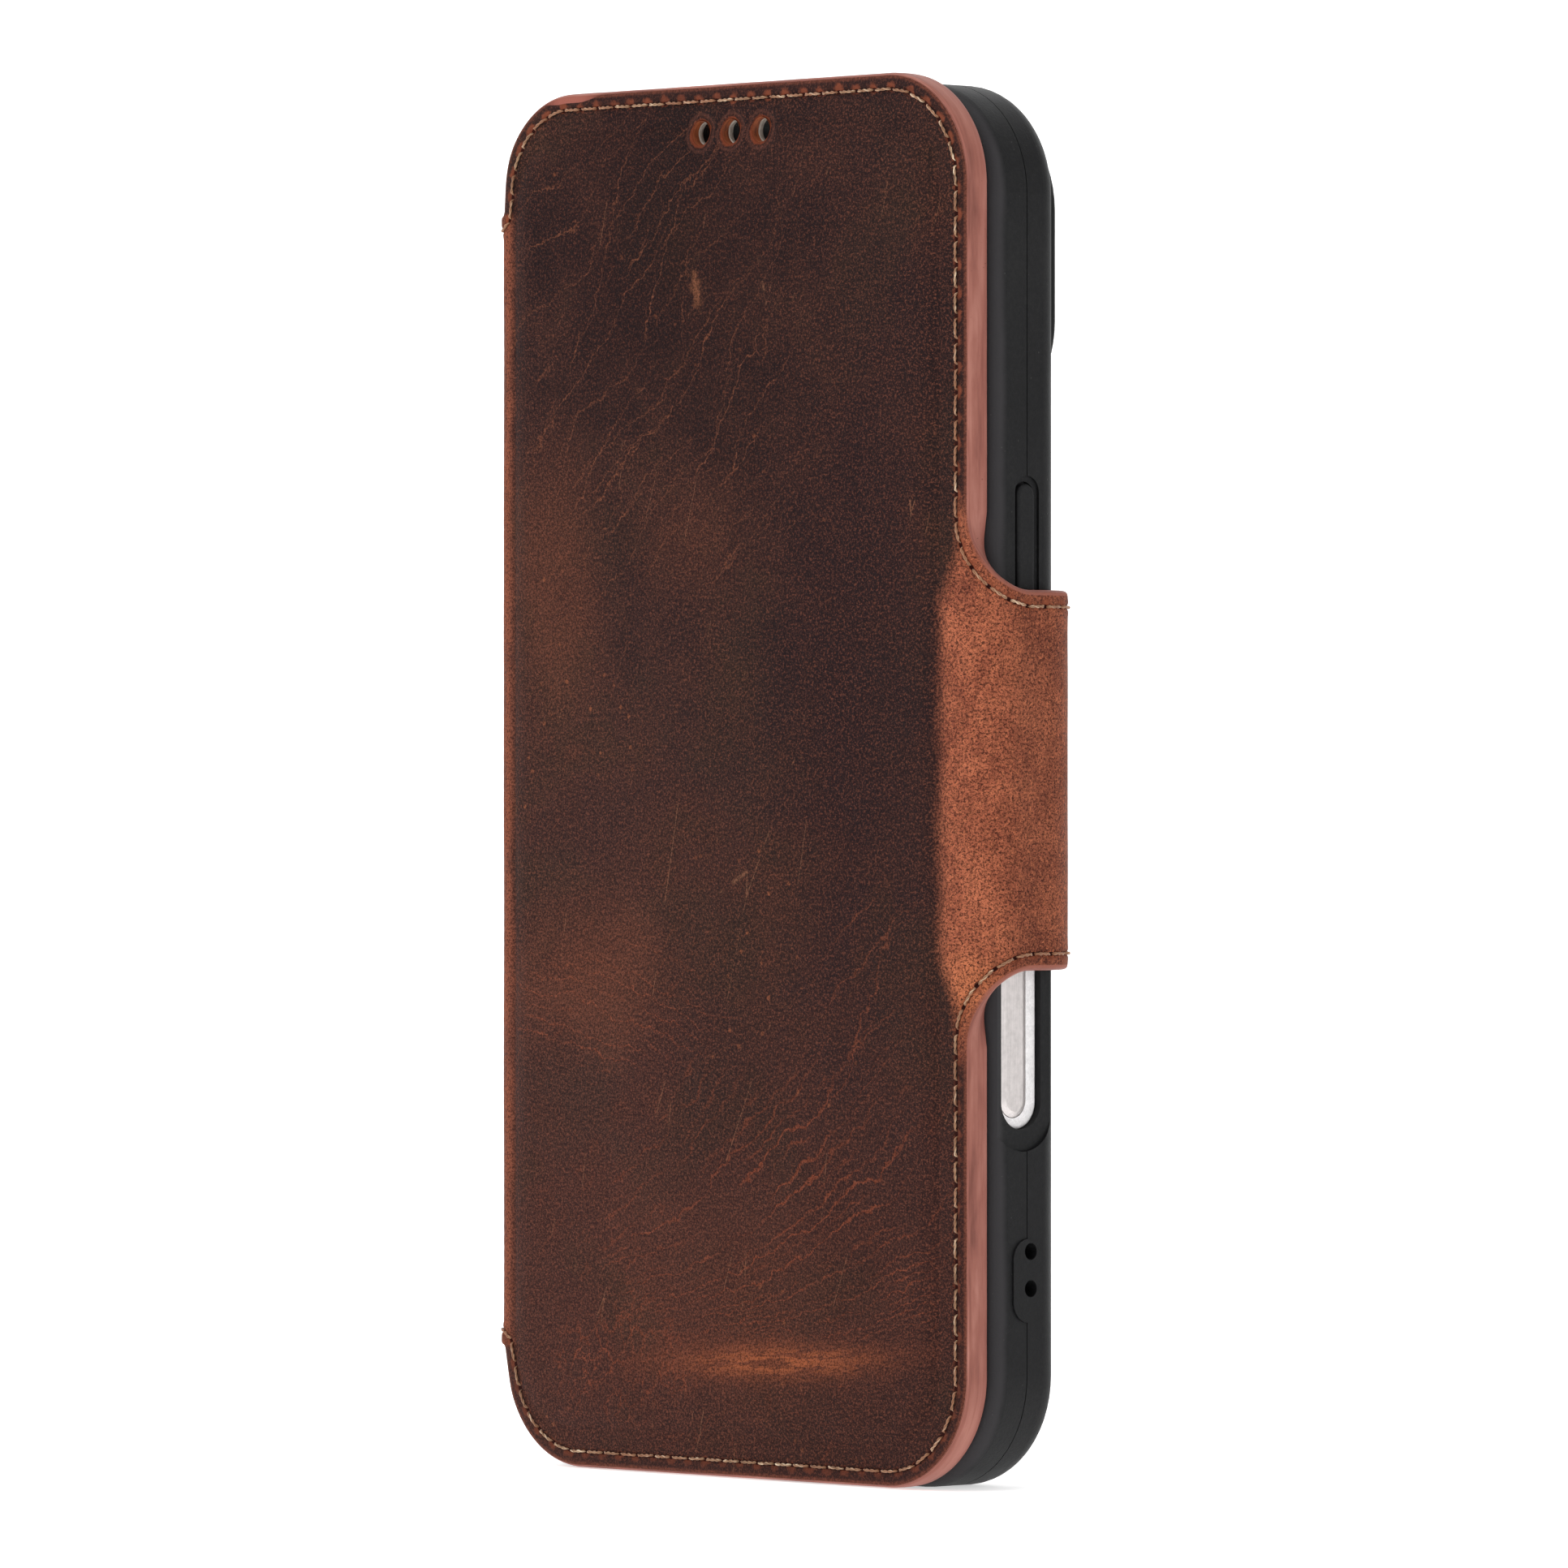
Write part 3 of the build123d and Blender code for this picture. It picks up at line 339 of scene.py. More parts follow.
def build_sheet():
    V = [np.concatenate(rings)]
    dv = [np.repeat(D_RINGS, NR)]
    av = [np.tile(arc, len(D_RINGS))]
    F = []
    idx = np.arange(NR)
    nxt = (idx + 1) % NR
    for k in range(len(D_RINGS) - 1):
        a = k * NR + idx
        b = k * NR + nxt
        c = (k + 1) * NR + nxt
        d = (k + 1) * NR + idx
        F.append(np.stack([a, b, c, d], -1))
    quads = np.concatenate(F)
    inner = rings[-1]
    # interior points
    xs = [np.arange(-133, -60.5, 2.3), np.arange(-60.4, -38.0, 0.5), np.arange(-37.6, 34.0, 1.55),
          np.arange(34.2, 63.4, 0.62), np.arange(64.0, 84, 1.9)]
    grid = []
    for k, col in enumerate(np.concatenate(xs)):
        zs = np.arange(-83, 83.01, 1.7) + (0.85 if k % 2 else 0.0)
        grid.append(np.stack([np.full_like(zs, col), zs], -1))
    grid = np.concatenate(grid)
    extra = []
    for sd, st in ((-0.45, 0.9), (-0.2, 0.8), (0.0, 0.7), (0.25, 0.7), (0.55, 0.8), (0.95, 0.9), (1.5, 1.0), (2.2, 1.2), (3.0, 1.4)):
        x0, x1, z0, z1, r = -38.3 + sd, 35.25 - sd, -78.9 + sd, 78.9 - sd, max(9.0 - sd, 0.5)
        extra.append(ring([(x0, z0, r), (x1, z0, r), (x1, z1, r), (x0, z1, r)], 0.0, st))
    crown = np.concatenate(extra)
    c = sd_rr(grid[:, 0], grid[:, 1], -38.3, 35.25, -78.9, 78.9, 9.0)
    grid = grid[~((c > -0.8) & (c < 3.5))]
    pts = np.concatenate([grid, crown])
    holes = []
    for hx, hz in HOLES:
        r = np.hypot(pts[:, 0] - hx, pts[:, 1] - hz)
        pts = pts[r > 3.0]
        t = np.linspace(0, 2 * math.pi, 48, endpoint=False)
        for rr in (HOLE_R, 1.53, 1.58, 1.66, 1.78, 1.92, 2.06, 2.2, 2.34, 2.5):
            if rr >= 2.5 - 1e-9:
                tt = t[::2]
            else:
                tt = t
            holes.append(np.stack([hx + rr * np.cos(tt), hz + rr * np.sin(tt)], -1))
    hp = np.concatenate(holes)
    # neighbouring holes' outer rings may meet: drop points nearer another hole
    keep = np.ones(len(hp), bool)
    cen = np.array(HOLES)
    which = np.repeat(np.arange(3), len(hp) // 3)
    dist = np.hypot(hp[:, None, 0] - cen[None, :, 0], hp[:, None, 1] - cen[None, :, 1])
    keep = dist[np.arange(len(hp)), which] <= dist.min(1) + 1e-6
    hp = hp[keep]
    # points well inside the inner ring only
    lim = ring(OUTLINE, D_RINGS[-1] + 0.45, 1.0)
    pts = pts[inside_poly(pts, lim)]
    lim2 = ring(OUTLINE, D_RINGS[-1] + 0.12, 1.0)
    hp = hp[inside_poly(hp, lim2)]
    allp = np.concatenate([inner, pts, hp])
    res = delaunay_2d_cdt([Vector(p) for p in allp], [(i, (i + 1) % NR) for i in range(NR)],
                          [list(range(NR))], 1, 1e-6)
    rv, rf, orig = res[0], res[2], res[3]
    base_i = (len(D_RINGS) - 1) * NR
    remap = np.zeros(len(rv), int)
    newp = []
    total = len(D_RINGS) * NR
    for i, o in enumerate(orig):
        k = min(o) if len(o) else -1
        if 0 <= k < NR:
            remap[i] = base_i + k
        else:
            remap[i] = total + len(newp)
            newp.append((rv[i][0], rv[i][1]))
    newp = np.array(newp)
    tris = []
    P2 = np.array([(v[0], v[1]) for v in rv])
    for f in rf:
        cx, cz = P2[f].mean(0)
        if min(math.hypot(cx - hx, cz - hz) for hx, hz in HOLES) < HOLE_R - 0.01:
            continue
        tris.append([int(remap[i]) for i in f])
    V.append(newp)
    dn = np.full(len(newp), 9.0)
    dv.append(dn)
    av.append(np.zeros(len(newp)))
    V = np.concatenate(V)
    dv = np.concatenate(dv)
    av = np.concatenate(av)
    return V, dv, av, [list(map(int, q)) for q in quads], tris


SV, SD, SA, quads, tris = build_sheet()
wob = 0.035 * hnoise(SV, 1 / 5.0, 21.0)
SO = leather_off(SV[:, 0], SV[:, 1], SD, SA)
P3 = place(SV[:, 0], SV[:, 1], SO)


def make_mesh(name, verts, faces, mat, smooth=True, attrs=None):
    me = bpy.data.meshes.new(name)
    me.from_pydata([tuple(v) for v in (np.asarray(verts) * MM).tolist()], [], faces)
    me.update()
    if smooth:
        me.polygons.foreach_set("use_smooth", [True] * len(me.polygons))
    for k, arr in (attrs or {}).items():
        arr = np.asarray(arr, np.float32)
        if arr.ndim == 2:
            at = me.attributes.new(k, "FLOAT_VECTOR", "POINT")
            at.data.foreach_set("vector", arr.reshape(-1))
        else:
            at = me.attributes.new(k, "FLOAT", "POINT")
            at.data.foreach_set("value", arr)
    ob = bpy.data.objects.new(name, me)
    bpy.context.scene.collection.objects.link(ob)
    if mat is not None:
        me.materials.append(mat)
    return ob


# where the wrap is divided between the moving bodies, and how each part bends
CUTS = [-200.0, -62.5, -49.28, -36.0, 34.0, 49.0, 66.0, 200.0]
STRIPS = [
    ("back", "tray", None),
    ("fold_back", None, ("tray", "spine", (-37.3, 7.9, 0), (-42.8, 1.0, 0))),
    ("fold_front", None, ("cover", "spine", (-37.88, -7.2, 0), (-41.35, -3.9, 0))),
    ("cover", "cover", None),
    ("fold_clasp", None, ("cover", "clasp_side", (37.2, -8.6, 0), (42.9, -3.0, 0))),
    ("fold_end", None, ("clasp_side", "clasp_end", (41.3, 4.4, 0), (36.2, 9.3, 0))),
    ("clasp_end", "clasp_end", None),
    # where the clasp widens into the cover the bend fades out with height, so
    # that the cover's edge above and below it stays with the cover
    ("root_up", None, ("cover", "clasp_side", (37.2, -8.6, 106.35), (41.807, -4.074, 103.202))),
    ("root_down", None, ("cover", "clasp_side", (37.2, -8.6, 61.65), (41.807, -4.074, 64.798))),
    ("rim_right", "cover", None),
    # the same at the cover's two left corners, past the ends of the spine
    ("ear_up", None, ("cover", "spine", (-37.88, -7.2, 153.6), (-40.703, -4.516, 151.735))),
    ("ear_down", None, ("cover", "spine", (-37.88, -7.2, 14.4), (-40.703, -4.516, 16.265))),
]


def strip_of(s, z):
    """Which part of the wrap each point or face belongs to."""
    s, z = np.asarray(s, float), np.asarray(z, float)
    part = np.searchsorted(np.array(CUTS[1:-1], float), s, side="right")
    root, ear = part == 4, part == 2
    part[root & (z > 22.35)] = 7
    part[root & (z < -22.35)] = 8
    part[root & (np.abs(z) > 30.85)] = 9
    part[ear & (z > 69.6)] = 10
    part[ear & (z < -69.6)] = 11
    return part


def attach(ob, strip):
    _, body, bl = STRIPS[strip]
    if bl is None:
        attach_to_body(ob, body)
    else:
        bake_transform(ob)
    return ob


def split(prefix, verts, faces, sv, mat, attrs, only=None):
    """One object for each part of the wrap."""
    sv = np.asarray(sv)
    fs = np.array([sv[f].mean() for f in faces])
    fz = np.array([verts[f][:, 2].mean() for f in faces]) - ZC
    part = strip_of(fs, fz)
    made = {}
    for k in range(len(STRIPS)):
        base_k = {7: 4, 8: 4, 9: 4, 10: 2, 11: 2}.get(k, k)
        if only is not None and base_k not in only:
            continue
        pick = [faces[i] for i in np.nonzero(part == k)[0]]
        if not pick:
            continue
        used = np.unique(np.concatenate([np.asarray(f) for f in pick]))
        m = -np.ones(len(verts), int)
        m[used] = np.arange(len(used))
        fl = [[int(m[i]) for i in f] for f in pick]
        ob = make_mesh(f"{prefix}_{STRIPS[k][0]}", verts[used], fl, mat,
                       attrs={a: v[used] for a, v in attrs.items()})
        attach(ob, k)
        made[STRIPS[k][0]] = ob
    return made


# ---------------------------------------------------------------- materials
def lin(c):
    out = []
    for v in c:
        v = v / 255.0
        out.append(v / 12.92 if v <= 0.04045 else ((v + 0.055) / 1.055) ** 2.4)
    return (*out, 1.0)


class Mat:
    """A material's node tree, written as short calls."""

    def __init__(self, name):
        self.m = bpy.data.materials.new(name)
        self.m.use_nodes = True
        self.nt = self.m.node_tree
        self.nt.nodes.clear()
        self.out = self.nt.nodes.new("ShaderNodeOutputMaterial")
        self.bsdf = self.nt.nodes.new("ShaderNodeBsdfPrincipled")
        self.nt.links.new(self.bsdf.outputs[0], self.out.inputs[0])

    def n(self, kind, **props):
        nd = self.nt.nodes.new(kind)
        for k, v in props.items():
            setattr(nd, k, v)
        return nd

    def put(self, sock, v):
        if isinstance(v, bpy.types.NodeSocket):
            self.nt.links.new(v, sock)
        else:
            sock.default_value = v

    def attr(self, name, vector=True):
        nd = self.n("ShaderNodeAttribute", attribute_name=name)
        return nd.outputs["Vector"] if vector else nd.outputs["Fac"]

    def obj(self):
        return self.n("ShaderNodeTexCoord").outputs["Object"]

    def mapping(self, vec, scale=(1, 1, 1), rot=(0, 0, 0), loc=(0, 0, 0)):
        nd = self.n("ShaderNodeMapping")
        self.put(nd.inputs["Vector"], vec)
        nd.inputs["Scale"].default_value = scale
        nd.inputs["Rotation"].default_value = rot
        nd.inputs["Location"].default_value = loc
        return nd.outputs[0]

    def along(self, vec, deg, sizes, loc=(0, 0, 0)):
        """Turned so that the direction deg lies on X, then divided by the sizes along and across."""
        nd = self.n("ShaderNodeMapping", vector_type="TEXTURE")
        self.put(nd.inputs["Vector"], vec)
        nd.inputs["Scale"].default_value = (sizes[0], sizes[1], 1.0)
        nd.inputs["Rotation"].default_value = (0, 0, math.radians(deg))
        nd.inputs["Location"].default_value = loc
        return nd.outputs[0]

    def noise(self, vec, scale, detail=4.0, rough=0.55, dist=0.0, color=False, lac=2.0):
        nd = self.n("ShaderNodeTexNoise")
        self.put(nd.inputs["Vector"], vec)
        nd.inputs["Scale"].default_value = scale
        nd.inputs["Detail"].default_value = detail
        nd.inputs["Roughness"].default_value = rough
        nd.inputs["Distortion"].default_value = dist
        nd.inputs["Lacunarity"].default_value = lac
        return nd.outputs["Color"] if color else nd.outputs["Fac"]

    def voro(self, vec, scale, feature="F1", rand=1.0, out="Distance"):
        nd = self.n("ShaderNodeTexVoronoi", feature=feature)
        self.put(nd.inputs["Vector"], vec)
        nd.inputs["Scale"].default_value = scale
        nd.inputs["Randomness"].default_value = rand
        return nd.outputs[out]

    def math(self, op, a, b=0.0, c=0.0, clamp=False):
        nd = self.n("ShaderNodeMath", operation=op, use_clamp=clamp)
        self.put(nd.inputs[0], a)
        if len(nd.inputs) > 1:
            self.put(nd.inputs[1], b)
        if len(nd.inputs) > 2:
            self.put(nd.inputs[2], c)
        return nd.outputs[0]

    def vadd(self, a, b, op="ADD"):
        nd = self.n("ShaderNodeVectorMath", operation=op)
        self.put(nd.inputs[0], a)
        if op == "SCALE":
            self.put(nd.inputs[3], b)
        else:
            self.put(nd.inputs[1], b)
        return nd.outputs[0]

    def step(self, x, a, b, lo=0.0, hi=1.0):
        nd = self.n("ShaderNodeMapRange", interpolation_type="SMOOTHSTEP")
        self.put(nd.inputs[0], x)
        nd.inputs[1].default_value = a
        nd.inputs[2].default_value = b
        nd.inputs[3].default_value = lo
        nd.inputs[4].default_value = hi
        return nd.outputs[0]

    def mix(self, f, a, b, blend="MIX"):
        nd = self.n("ShaderNodeMix", data_type="RGBA", blend_type=blend)
        nd.clamp_factor = True
        self.put(nd.inputs[0], f)
        self.put(nd.inputs[6], a)
        self.put(nd.inputs[7], b)
        return nd.outputs[2]

    def ramp(self, x, stops):
        nd = self.n("ShaderNodeValToRGB")
        self.put(nd.inputs[0], x)
        el = nd.color_ramp.elements
        while len(el) < len(stops):
            el.new(0.5)
        for e, (p, c) in zip(el, stops):
            e.position = p
            e.color = c
        return nd.outputs[0]

    def sep(self, v):
        nd = self.n("ShaderNodeSeparateXYZ")
        self.put(nd.inputs[0], v)
        return nd.outputs[0], nd.outputs[1], nd.outputs[2]

    def bump(self, h, strength, dist, normal=None):
        nd = self.n("ShaderNodeBump")
        nd.inputs["Strength"].default_value = strength
        nd.inputs["Distance"].default_value = dist
        self.put(nd.inputs["Height"], h)
        if normal is not None:
            self.put(nd.inputs["Normal"], normal)
        return nd.outputs[0]

    def set(self, **k):
        names = {"color": "Base Color", "rough": "Roughness", "metal": "Metallic", "normal": "Normal",
                 "spec": "Specular IOR Level", "sheen": "Sheen Weight", "sheen_rough": "Sheen Roughness",
                 "coat": "Coat Weight", "coat_rough": "Coat Roughness", "aniso": "Anisotropic",
                 "ior": "IOR", "sheen_tint": "Sheen Tint"}
        for a, v in k.items():
            self.put(self.bsdf.inputs[names[a]], v)
        return self.m


def blob(M, sx, sz, cx, cz, rx, rz, soft=0.6, warp=None):
    """A soft oval mask at (cx, cz) on the flat pattern."""
    a = M.math("DIVIDE", M.math("SUBTRACT", sx, cx), rx)
    b = M.math("DIVIDE", M.math("SUBTRACT", sz, cz), rz)
    r = M.math("SQRT", M.math("ADD", M.math("MULTIPLY", a, a), M.math("MULTIPLY", b, b)))
    if warp is not None:
        r = M.math("ADD", r, warp)
    return M.step(r, 1.0, 1.0 - soft)


def leather_material(name):
    M = Mat(name)
    flat = M.attr("flat")
    sx, sz, _ = M.sep(flat)
    d = M.attr("edge_d", False)
    a = M.attr("row", False)

    def cen(v, k):
        return M.math("MULTIPLY", M.math("SUBTRACT", v, 0.5), k)

    fine = M.noise(M.mapping(flat, loc=(3, 3, 3)), 0.85, 3.0, 0.6, color=True)
    wig = M.vadd(M.vadd(fine, (0.5, 0.5, 0.5), "SUBTRACT"), 1.7, "SCALE")
    wflat = M.vadd(flat, wig)
    n2 = M.noise(M.mapping(flat, loc=(31, 7, 2)), 0.075, 5.0, 0.62, 0.6)
    n1 = M.noise(flat, 0.030, 3.0, 0.55, 0.5)
    n3 = M.noise(M.mapping(flat, loc=(11, 57, 5)), 0.24, 5.0, 0.65, 0.2)
    g1 = M.noise(flat, 2.6, 4.0, 0.72)
    g2 = M.noise(M.mapping(flat, loc=(3, 3, 3)), 4.6, 3.0, 0.65)
    # cloudy dye
    cloud = M.math("ADD", M.math("MULTIPLY", n1, 0.45), M.math("ADD", M.math("MULTIPLY", n2, 0.35), M.math("MULTIPLY", n3, 0.20)))
    col = M.ramp(cloud, [(0.37, lin((42, 26, 25))), (0.45, lin((52, 32, 29))), (0.52, lin((62, 38, 32))),
                         (0.58, lin((58, 39, 31))), (0.66, lin((80, 47, 36)))])
    # painted light: the face is paler towards the bottom
    col = M.mix(M.step(sz, 20.0, -55.0, 0.0, 0.55), col, lin((82, 47, 38)))
    olive = M.noise(M.mapping(flat, loc=(5, 91, 40)), 0.045, 3.0, 0.5, 0.4)
    col = M.mix(M.step(olive, 0.50, 0.66, 0.0, 0.50), col, lin((54, 41, 31)))
    wn = cen(n2, 1.8)
    # darker patch down the right of the middle: dye mottling, deepened as painted shade
    dye_and_shade_patch = blob(M, sx, sz, 20.0, 12.0, 19.0, 62.0, 0.9, wn)
    col = M.mix(M.math("MULTIPLY", dye_and_shade_patch, 0.78), col, lin((40, 23, 25)))
    dark2 = blob(M, sx, sz, -27.0, -39.0, 12.0, 12.0, 0.9, wn)
    col = M.mix(M.math("MULTIPLY", dark2, 0.50), col, lin((54, 40, 34)))
    dark3 = blob(M, sx, sz, -2.0, -34.0, 16.0, 22.0, 0.9, wn)
    col = M.mix(M.math("MULTIPLY", dark3, 0.40), col, lin((46, 28, 26)))
    # reddish wear that the grain breaks up
    warm = blob(M, sx, sz, -31.0, 24.0, 12.0, 26.0, 0.9, wn)
    warm = M.math("MAXIMUM", warm, blob(M, sx, sz, -24.0, -23.0, 22.0, 14.0, 0.9, wn))
    warm = M.math("MAXIMUM", warm, M.math("MULTIPLY", blob(M, sx, sz, 5.0, -62.0, 42.0, 22.0, 0.9, wn), 0.56))
    warm = M.math("MAXIMUM", warm, M.math("MULTIPLY", blob(M, sx, sz, -6.0, 30.0, 16.0, 12.0, 0.9, wn), 0.5))
    col = M.mix(M.math("MULTIPLY", warm, 0.52), col, lin((108, 62, 44)))
    # painted shade: the top left of the face is darkened further
    top_left_shade_patch = blob(M, sx, sz, -19.0, 66.0, 26.0, 30.0, 0.9, wn)
    col = M.mix(M.math("MULTIPLY", top_left_shade_patch, 0.48), col, lin((28, 13, 15)))
    # painted shade: the face is darkened towards the top and on the right
    top_shade_mask = blob(M, sx, sz, -12.0, 62.0, 40.0, 58.0, 1.0, wn)
    front = M.step(sx, -46.0, -40.0)
    painted_shade = M.math("ADD", M.math("MULTIPLY", top_shade_mask, 0.52), M.step(sx, -25.0, 22.0, 0.10, 0.40), clamp=True)
    painted_shade = M.math("ADD", M.math("MULTIPLY", painted_shade, front), M.math("MULTIPLY", M.math("SUBTRACT", 1.0, front), 0.22))
    col = M.mix(painted_shade, col, lin((12, 2, 5)))
    # creases where the dye has pulled away: long slanted ones at the top, and
    # finer ones that fan out from the streak at the bottom
    jn = M.vadd(M.vadd(M.noise(M.mapping(flat, loc=(7, 1, 3)), 0.62, 3.0, 0.6, color=True), (0.5, 0.5, 0.5), "SUBTRACT"), 2.0, "SCALE")
    jx, jz, _ = M.sep(M.vadd(flat, jn))
    lw = M.noise(M.mapping(flat, loc=(17, 4, 9)), 0.040, 2.0, 0.5)
    lw2 = M.noise(M.mapping(flat, loc=(47, 14, 9)), 0.11, 2.0, 0.5)

    def phase(cx, cz, space, k, k2, add=0.0):
        v = M.math("ADD", M.math("MULTIPLY", jx, cx / space), M.math("MULTIPLY", jz, cz / space))
        v = M.math("ADD", v, M.math("MULTIPLY", lw, k))
        return M.math("ADD", M.math("ADD", v, M.math("MULTIPLY", lw2, k2)), add)

    def line(ph, w0, w1):
        return M.step(M.math("ABSOLUTE", M.math("SUBTRACT", M.math("FRACT", ph), 0.5)), w1, w0)

    def gate(ph, seed, lo, hi):
        """Each line is only there for part of its length."""
        n = M.noise(M.vadd(M.mapping(flat, scale=(0.045, 0.045, 1)), (seed, 0, 0)), 1.0, 3.0, 0.6)
        f = M.math("FRACT", M.math("MULTIPLY", M.math("FLOOR", ph), 0.618))
        return M.step(M.math("ADD", n, M.math("MULTIPLY", M.math("SUBTRACT", f, 0.5), 0.25)), lo, hi)
    pa = phase(0.74, -0.67, 4.6, 3.2, 0.9)
    pb = phase(0.66, -0.75, 2.9, 3.8, 1.2, 0.37)
    pc = phase(0.90, -0.42, 5.5, 3.0, 1.0, 0.21)
    la = M.math("MULTIPLY", line(pa, 0.008, 0.028), gate(pa, 3.0, 0.42, 0.56))
    lb = M.math("MULTIPLY", line(pb, 0.012, 0.042), gate(pb, 9.0, 0.50, 0.60))
    lc = M.math("MULTIPLY", line(pc, 0.007, 0.024), gate(pc, 14.0, 0.47, 0.60))
    l1 = M.math("MAXIMUM", M.math("MAXIMUM", la, M.math("MULTIPLY", lb, 0.8)), lc)
    az1 = M.math("ADD", M.math("ABSOLUTE", M.math("ADD", jz, 70.5)), 1.6)
    fan = M.math("SUBTRACT", M.math("MULTIPLY", M.math("LOGARITHM", az1, 2.718282), 11.0), M.math("MULTIPLY", jx, 0.31))
    fan = M.math("ADD", fan, M.math("MULTIPLY", lw2, 3.4))
    lf = M.math("MULTIPLY", line(fan, 0.04, 0.125), gate(fan, 21.0, 0.38, 0.58))
    pm = phase(0.24, 0.97, 1.9, 2.4, 2.6, 0.11)
    lm = M.math("MULTIPLY", line(pm, 0.02, 0.062), gate(pm, 27.0, 0.42, 0.56))
    net = M.voro(M.along(M.vadd(flat, jn), 62, (3.6, 2.1)), 1.0, "DISTANCE_TO_EDGE")
    l2 = M.step(net, 0.060, 0.015)
    up = M.math("MAXIMUM", blob(M, sx, sz, -14.0, 52.0, 34.0, 44.0, 0.7, wn), M.math("MULTIPLY", blob(M, sx, sz, 22.0, -24.0, 12.0, 20.0, 0.8, wn), 0.8))
    up = M.math("MAXIMUM", up, M.step(n2, 0.50, 0.66, 0.05, 0.45))
    lowr = blob(M, sx, sz, 8.0, -55.0, 40.0, 27.0, 0.7, wn)
    midl = blob(M, sx, sz, -20.0, -27.0, 26.0, 11.0, 0.7, wn)
    lowl = M.math("MULTIPLY", blob(M, sx, sz, -18.0, -70.0, 17.0, 11.0, 0.8, wn), M.step(n3, 0.40, 0.56, 0.2, 1.0))
    vein = M.math("MAXIMUM", M.math("MULTIPLY", l1, up), M.math("MULTIPLY", lf, lowr))
    vein = M.math("MAXIMUM", vein, M.math("MULTIPLY", lm, midl))
    vein = M.math("MAXIMUM", vein, M.math("MULTIPLY", l2, lowl), clamp=True)
    vein = M.math("MULTIPLY", vein, M.math("MULTIPLY", front, M.step(d, 1.9, 3.2)))
    vcol = M.mix(M.step(g1, 0.35, 0.65), lin((104, 58, 40)), lin((136, 82, 56)))
    vcol = M.mix(M.step(sz, 20.0, -50.0), vcol, lin((138, 68, 42)))
    col = M.mix(M.math("MULTIPLY", vein, 0.60), col, vcol)
    # the bright worn streak low on the front, made of fine lengthwise creases
    zz = M.math("ADD", sz, M.math("MULTIPLY", M.math("SUBTRACT", sx, 10.0), -0.045))
    lines = M.noise(M.along(M.vadd(flat, M.vadd(jn, 0.35, "SCALE")), 3, (6.0, 0.85)), 1.0, 3.0, 0.6)
    glow = blob(M, sx, zz, 5.0, -69.4, 34.0, 4.4, 1.0, cen(n3, 1.2))
    col = M.mix(M.math("MULTIPLY", glow, 0.36), col, lin((130, 68, 43)))
    core = M.math("MULTIPLY", blob(M, sx, zz, 9.0, -69.6, 27.0, 3.2, 1.0, cen(lines, 1.8)), M.step(lines, 0.45, 0.54, 0.10, 1.0))
    col = M.mix(M.math("MULTIPLY", core, 0.85), col, lin((172, 94, 56)))
    # scuff, pinpricks and a few scratches
    scx = M.math("ADD", sx, M.math("MULTIPLY", M.math("SUBTRACT", sz, 59.2), 0.16))
    sc = blob(M, scx, sz, -5.6, 59.2, 1.25, 3.0, 0.8, cen(M.noise(flat, 0.9, 4.0, 0.7), 2.2))
    col = M.mix(M.math("MULTIPLY", sc, 0.55), col, lin((140, 88, 60)))
    s1 = M.step(M.voro(M.along(M.vadd(flat, (4, 2, 0)), 74, (60.0, 7.0)), 1.0, "DISTANCE_TO_EDGE"), 0.010, 0.0)
    s1 = M.math("MULTIPLY", s1, M.step(n2, 0.57, 0.62))
    col = M.mix(M.math("MULTIPLY", s1, 0.5), col, lin((146, 100, 74)))
    sp = M.math("MULTIPLY", M.step(M.voro(M.mapping(flat, loc=(8, 8, 8)), 0.40), 0.15, 0.07), M.step(n1, 0.52, 0.60))
    col = M.mix(M.math("MULTIPLY", sp, 0.6), col, lin((146, 84, 54)))
    # pulled-up colour on the clasp and over the folds
    absz = M.math("ABSOLUTE", sz)
    wob1 = cen(M.noise(M.mapping(flat, scale=(1, 0.6, 1)), 0.16, 6.0, 0.72, 0.5), 3.2)
    bx = M.math("ADD", M.step(absz, 20.0, 29.0, 35.3, 38.3), M.math("MULTIPLY", wob1, 0.7))
    ed = M.math("SUBTRACT", sx, bx)
    tab = M.math("MULTIPLY", M.step(M.math("ADD", ed, cen(g1, 2.4)), -1.2, 2.0), M.step(M.math("ADD", absz, cen(n3, 3.0)), 31.6, 28.8))
    brd = M.math("MULTIPLY", M.math("MULTIPLY", M.step(d, 2.0, 1.5), M.step(sx, 36.0, 37.0)), M.step(M.math("ADD", absz, cen(n3, 3.0)), 35.5, 30.5))
    tab = M.math("MAXIMUM", tab, M.math("MULTIPLY", brd, 0.8))
    tcol = M.ramp(M.noise(M.mapping(flat, loc=(2, 66, 1)), 0.13, 5.0, 0.62, 0.5),
                  [(0.35, lin((134, 71, 52))), (0.48, lin((166, 92, 66))), (0.61, lin((194, 112, 80)))])
    tcol = M.mix(M.step(sx, 42.5, 48.0, 0.0, 0.42), tcol, lin((112, 62, 44)))
    low = blob(M, sx, sz, 39.5, -24.5, 5.5, 7.5, 0.9, cen(n3, 1.5))
    tcol = M.mix(M.math("MULTIPLY", low, 0.7), tcol, lin((206, 122, 80)))
    tsp = M.step(M.noise(M.mapping(flat, loc=(0, 5, 0)), 3.0, 3.0, 0.75), 0.48, 0.62, 0.0, 0.85)
    tsp2 = M.step(M.noise(M.along(flat, 90, (2.2, 0.9)), 1.0, 5.0, 0.75), 0.47, 0.66, 0.0, 0.55)
    tsp3 = M.step(M.noise(M.mapping(flat, loc=(21, 8, 2)), 2.8, 3.0, 0.7), 0.50, 0.62, 0.0, 0.6)
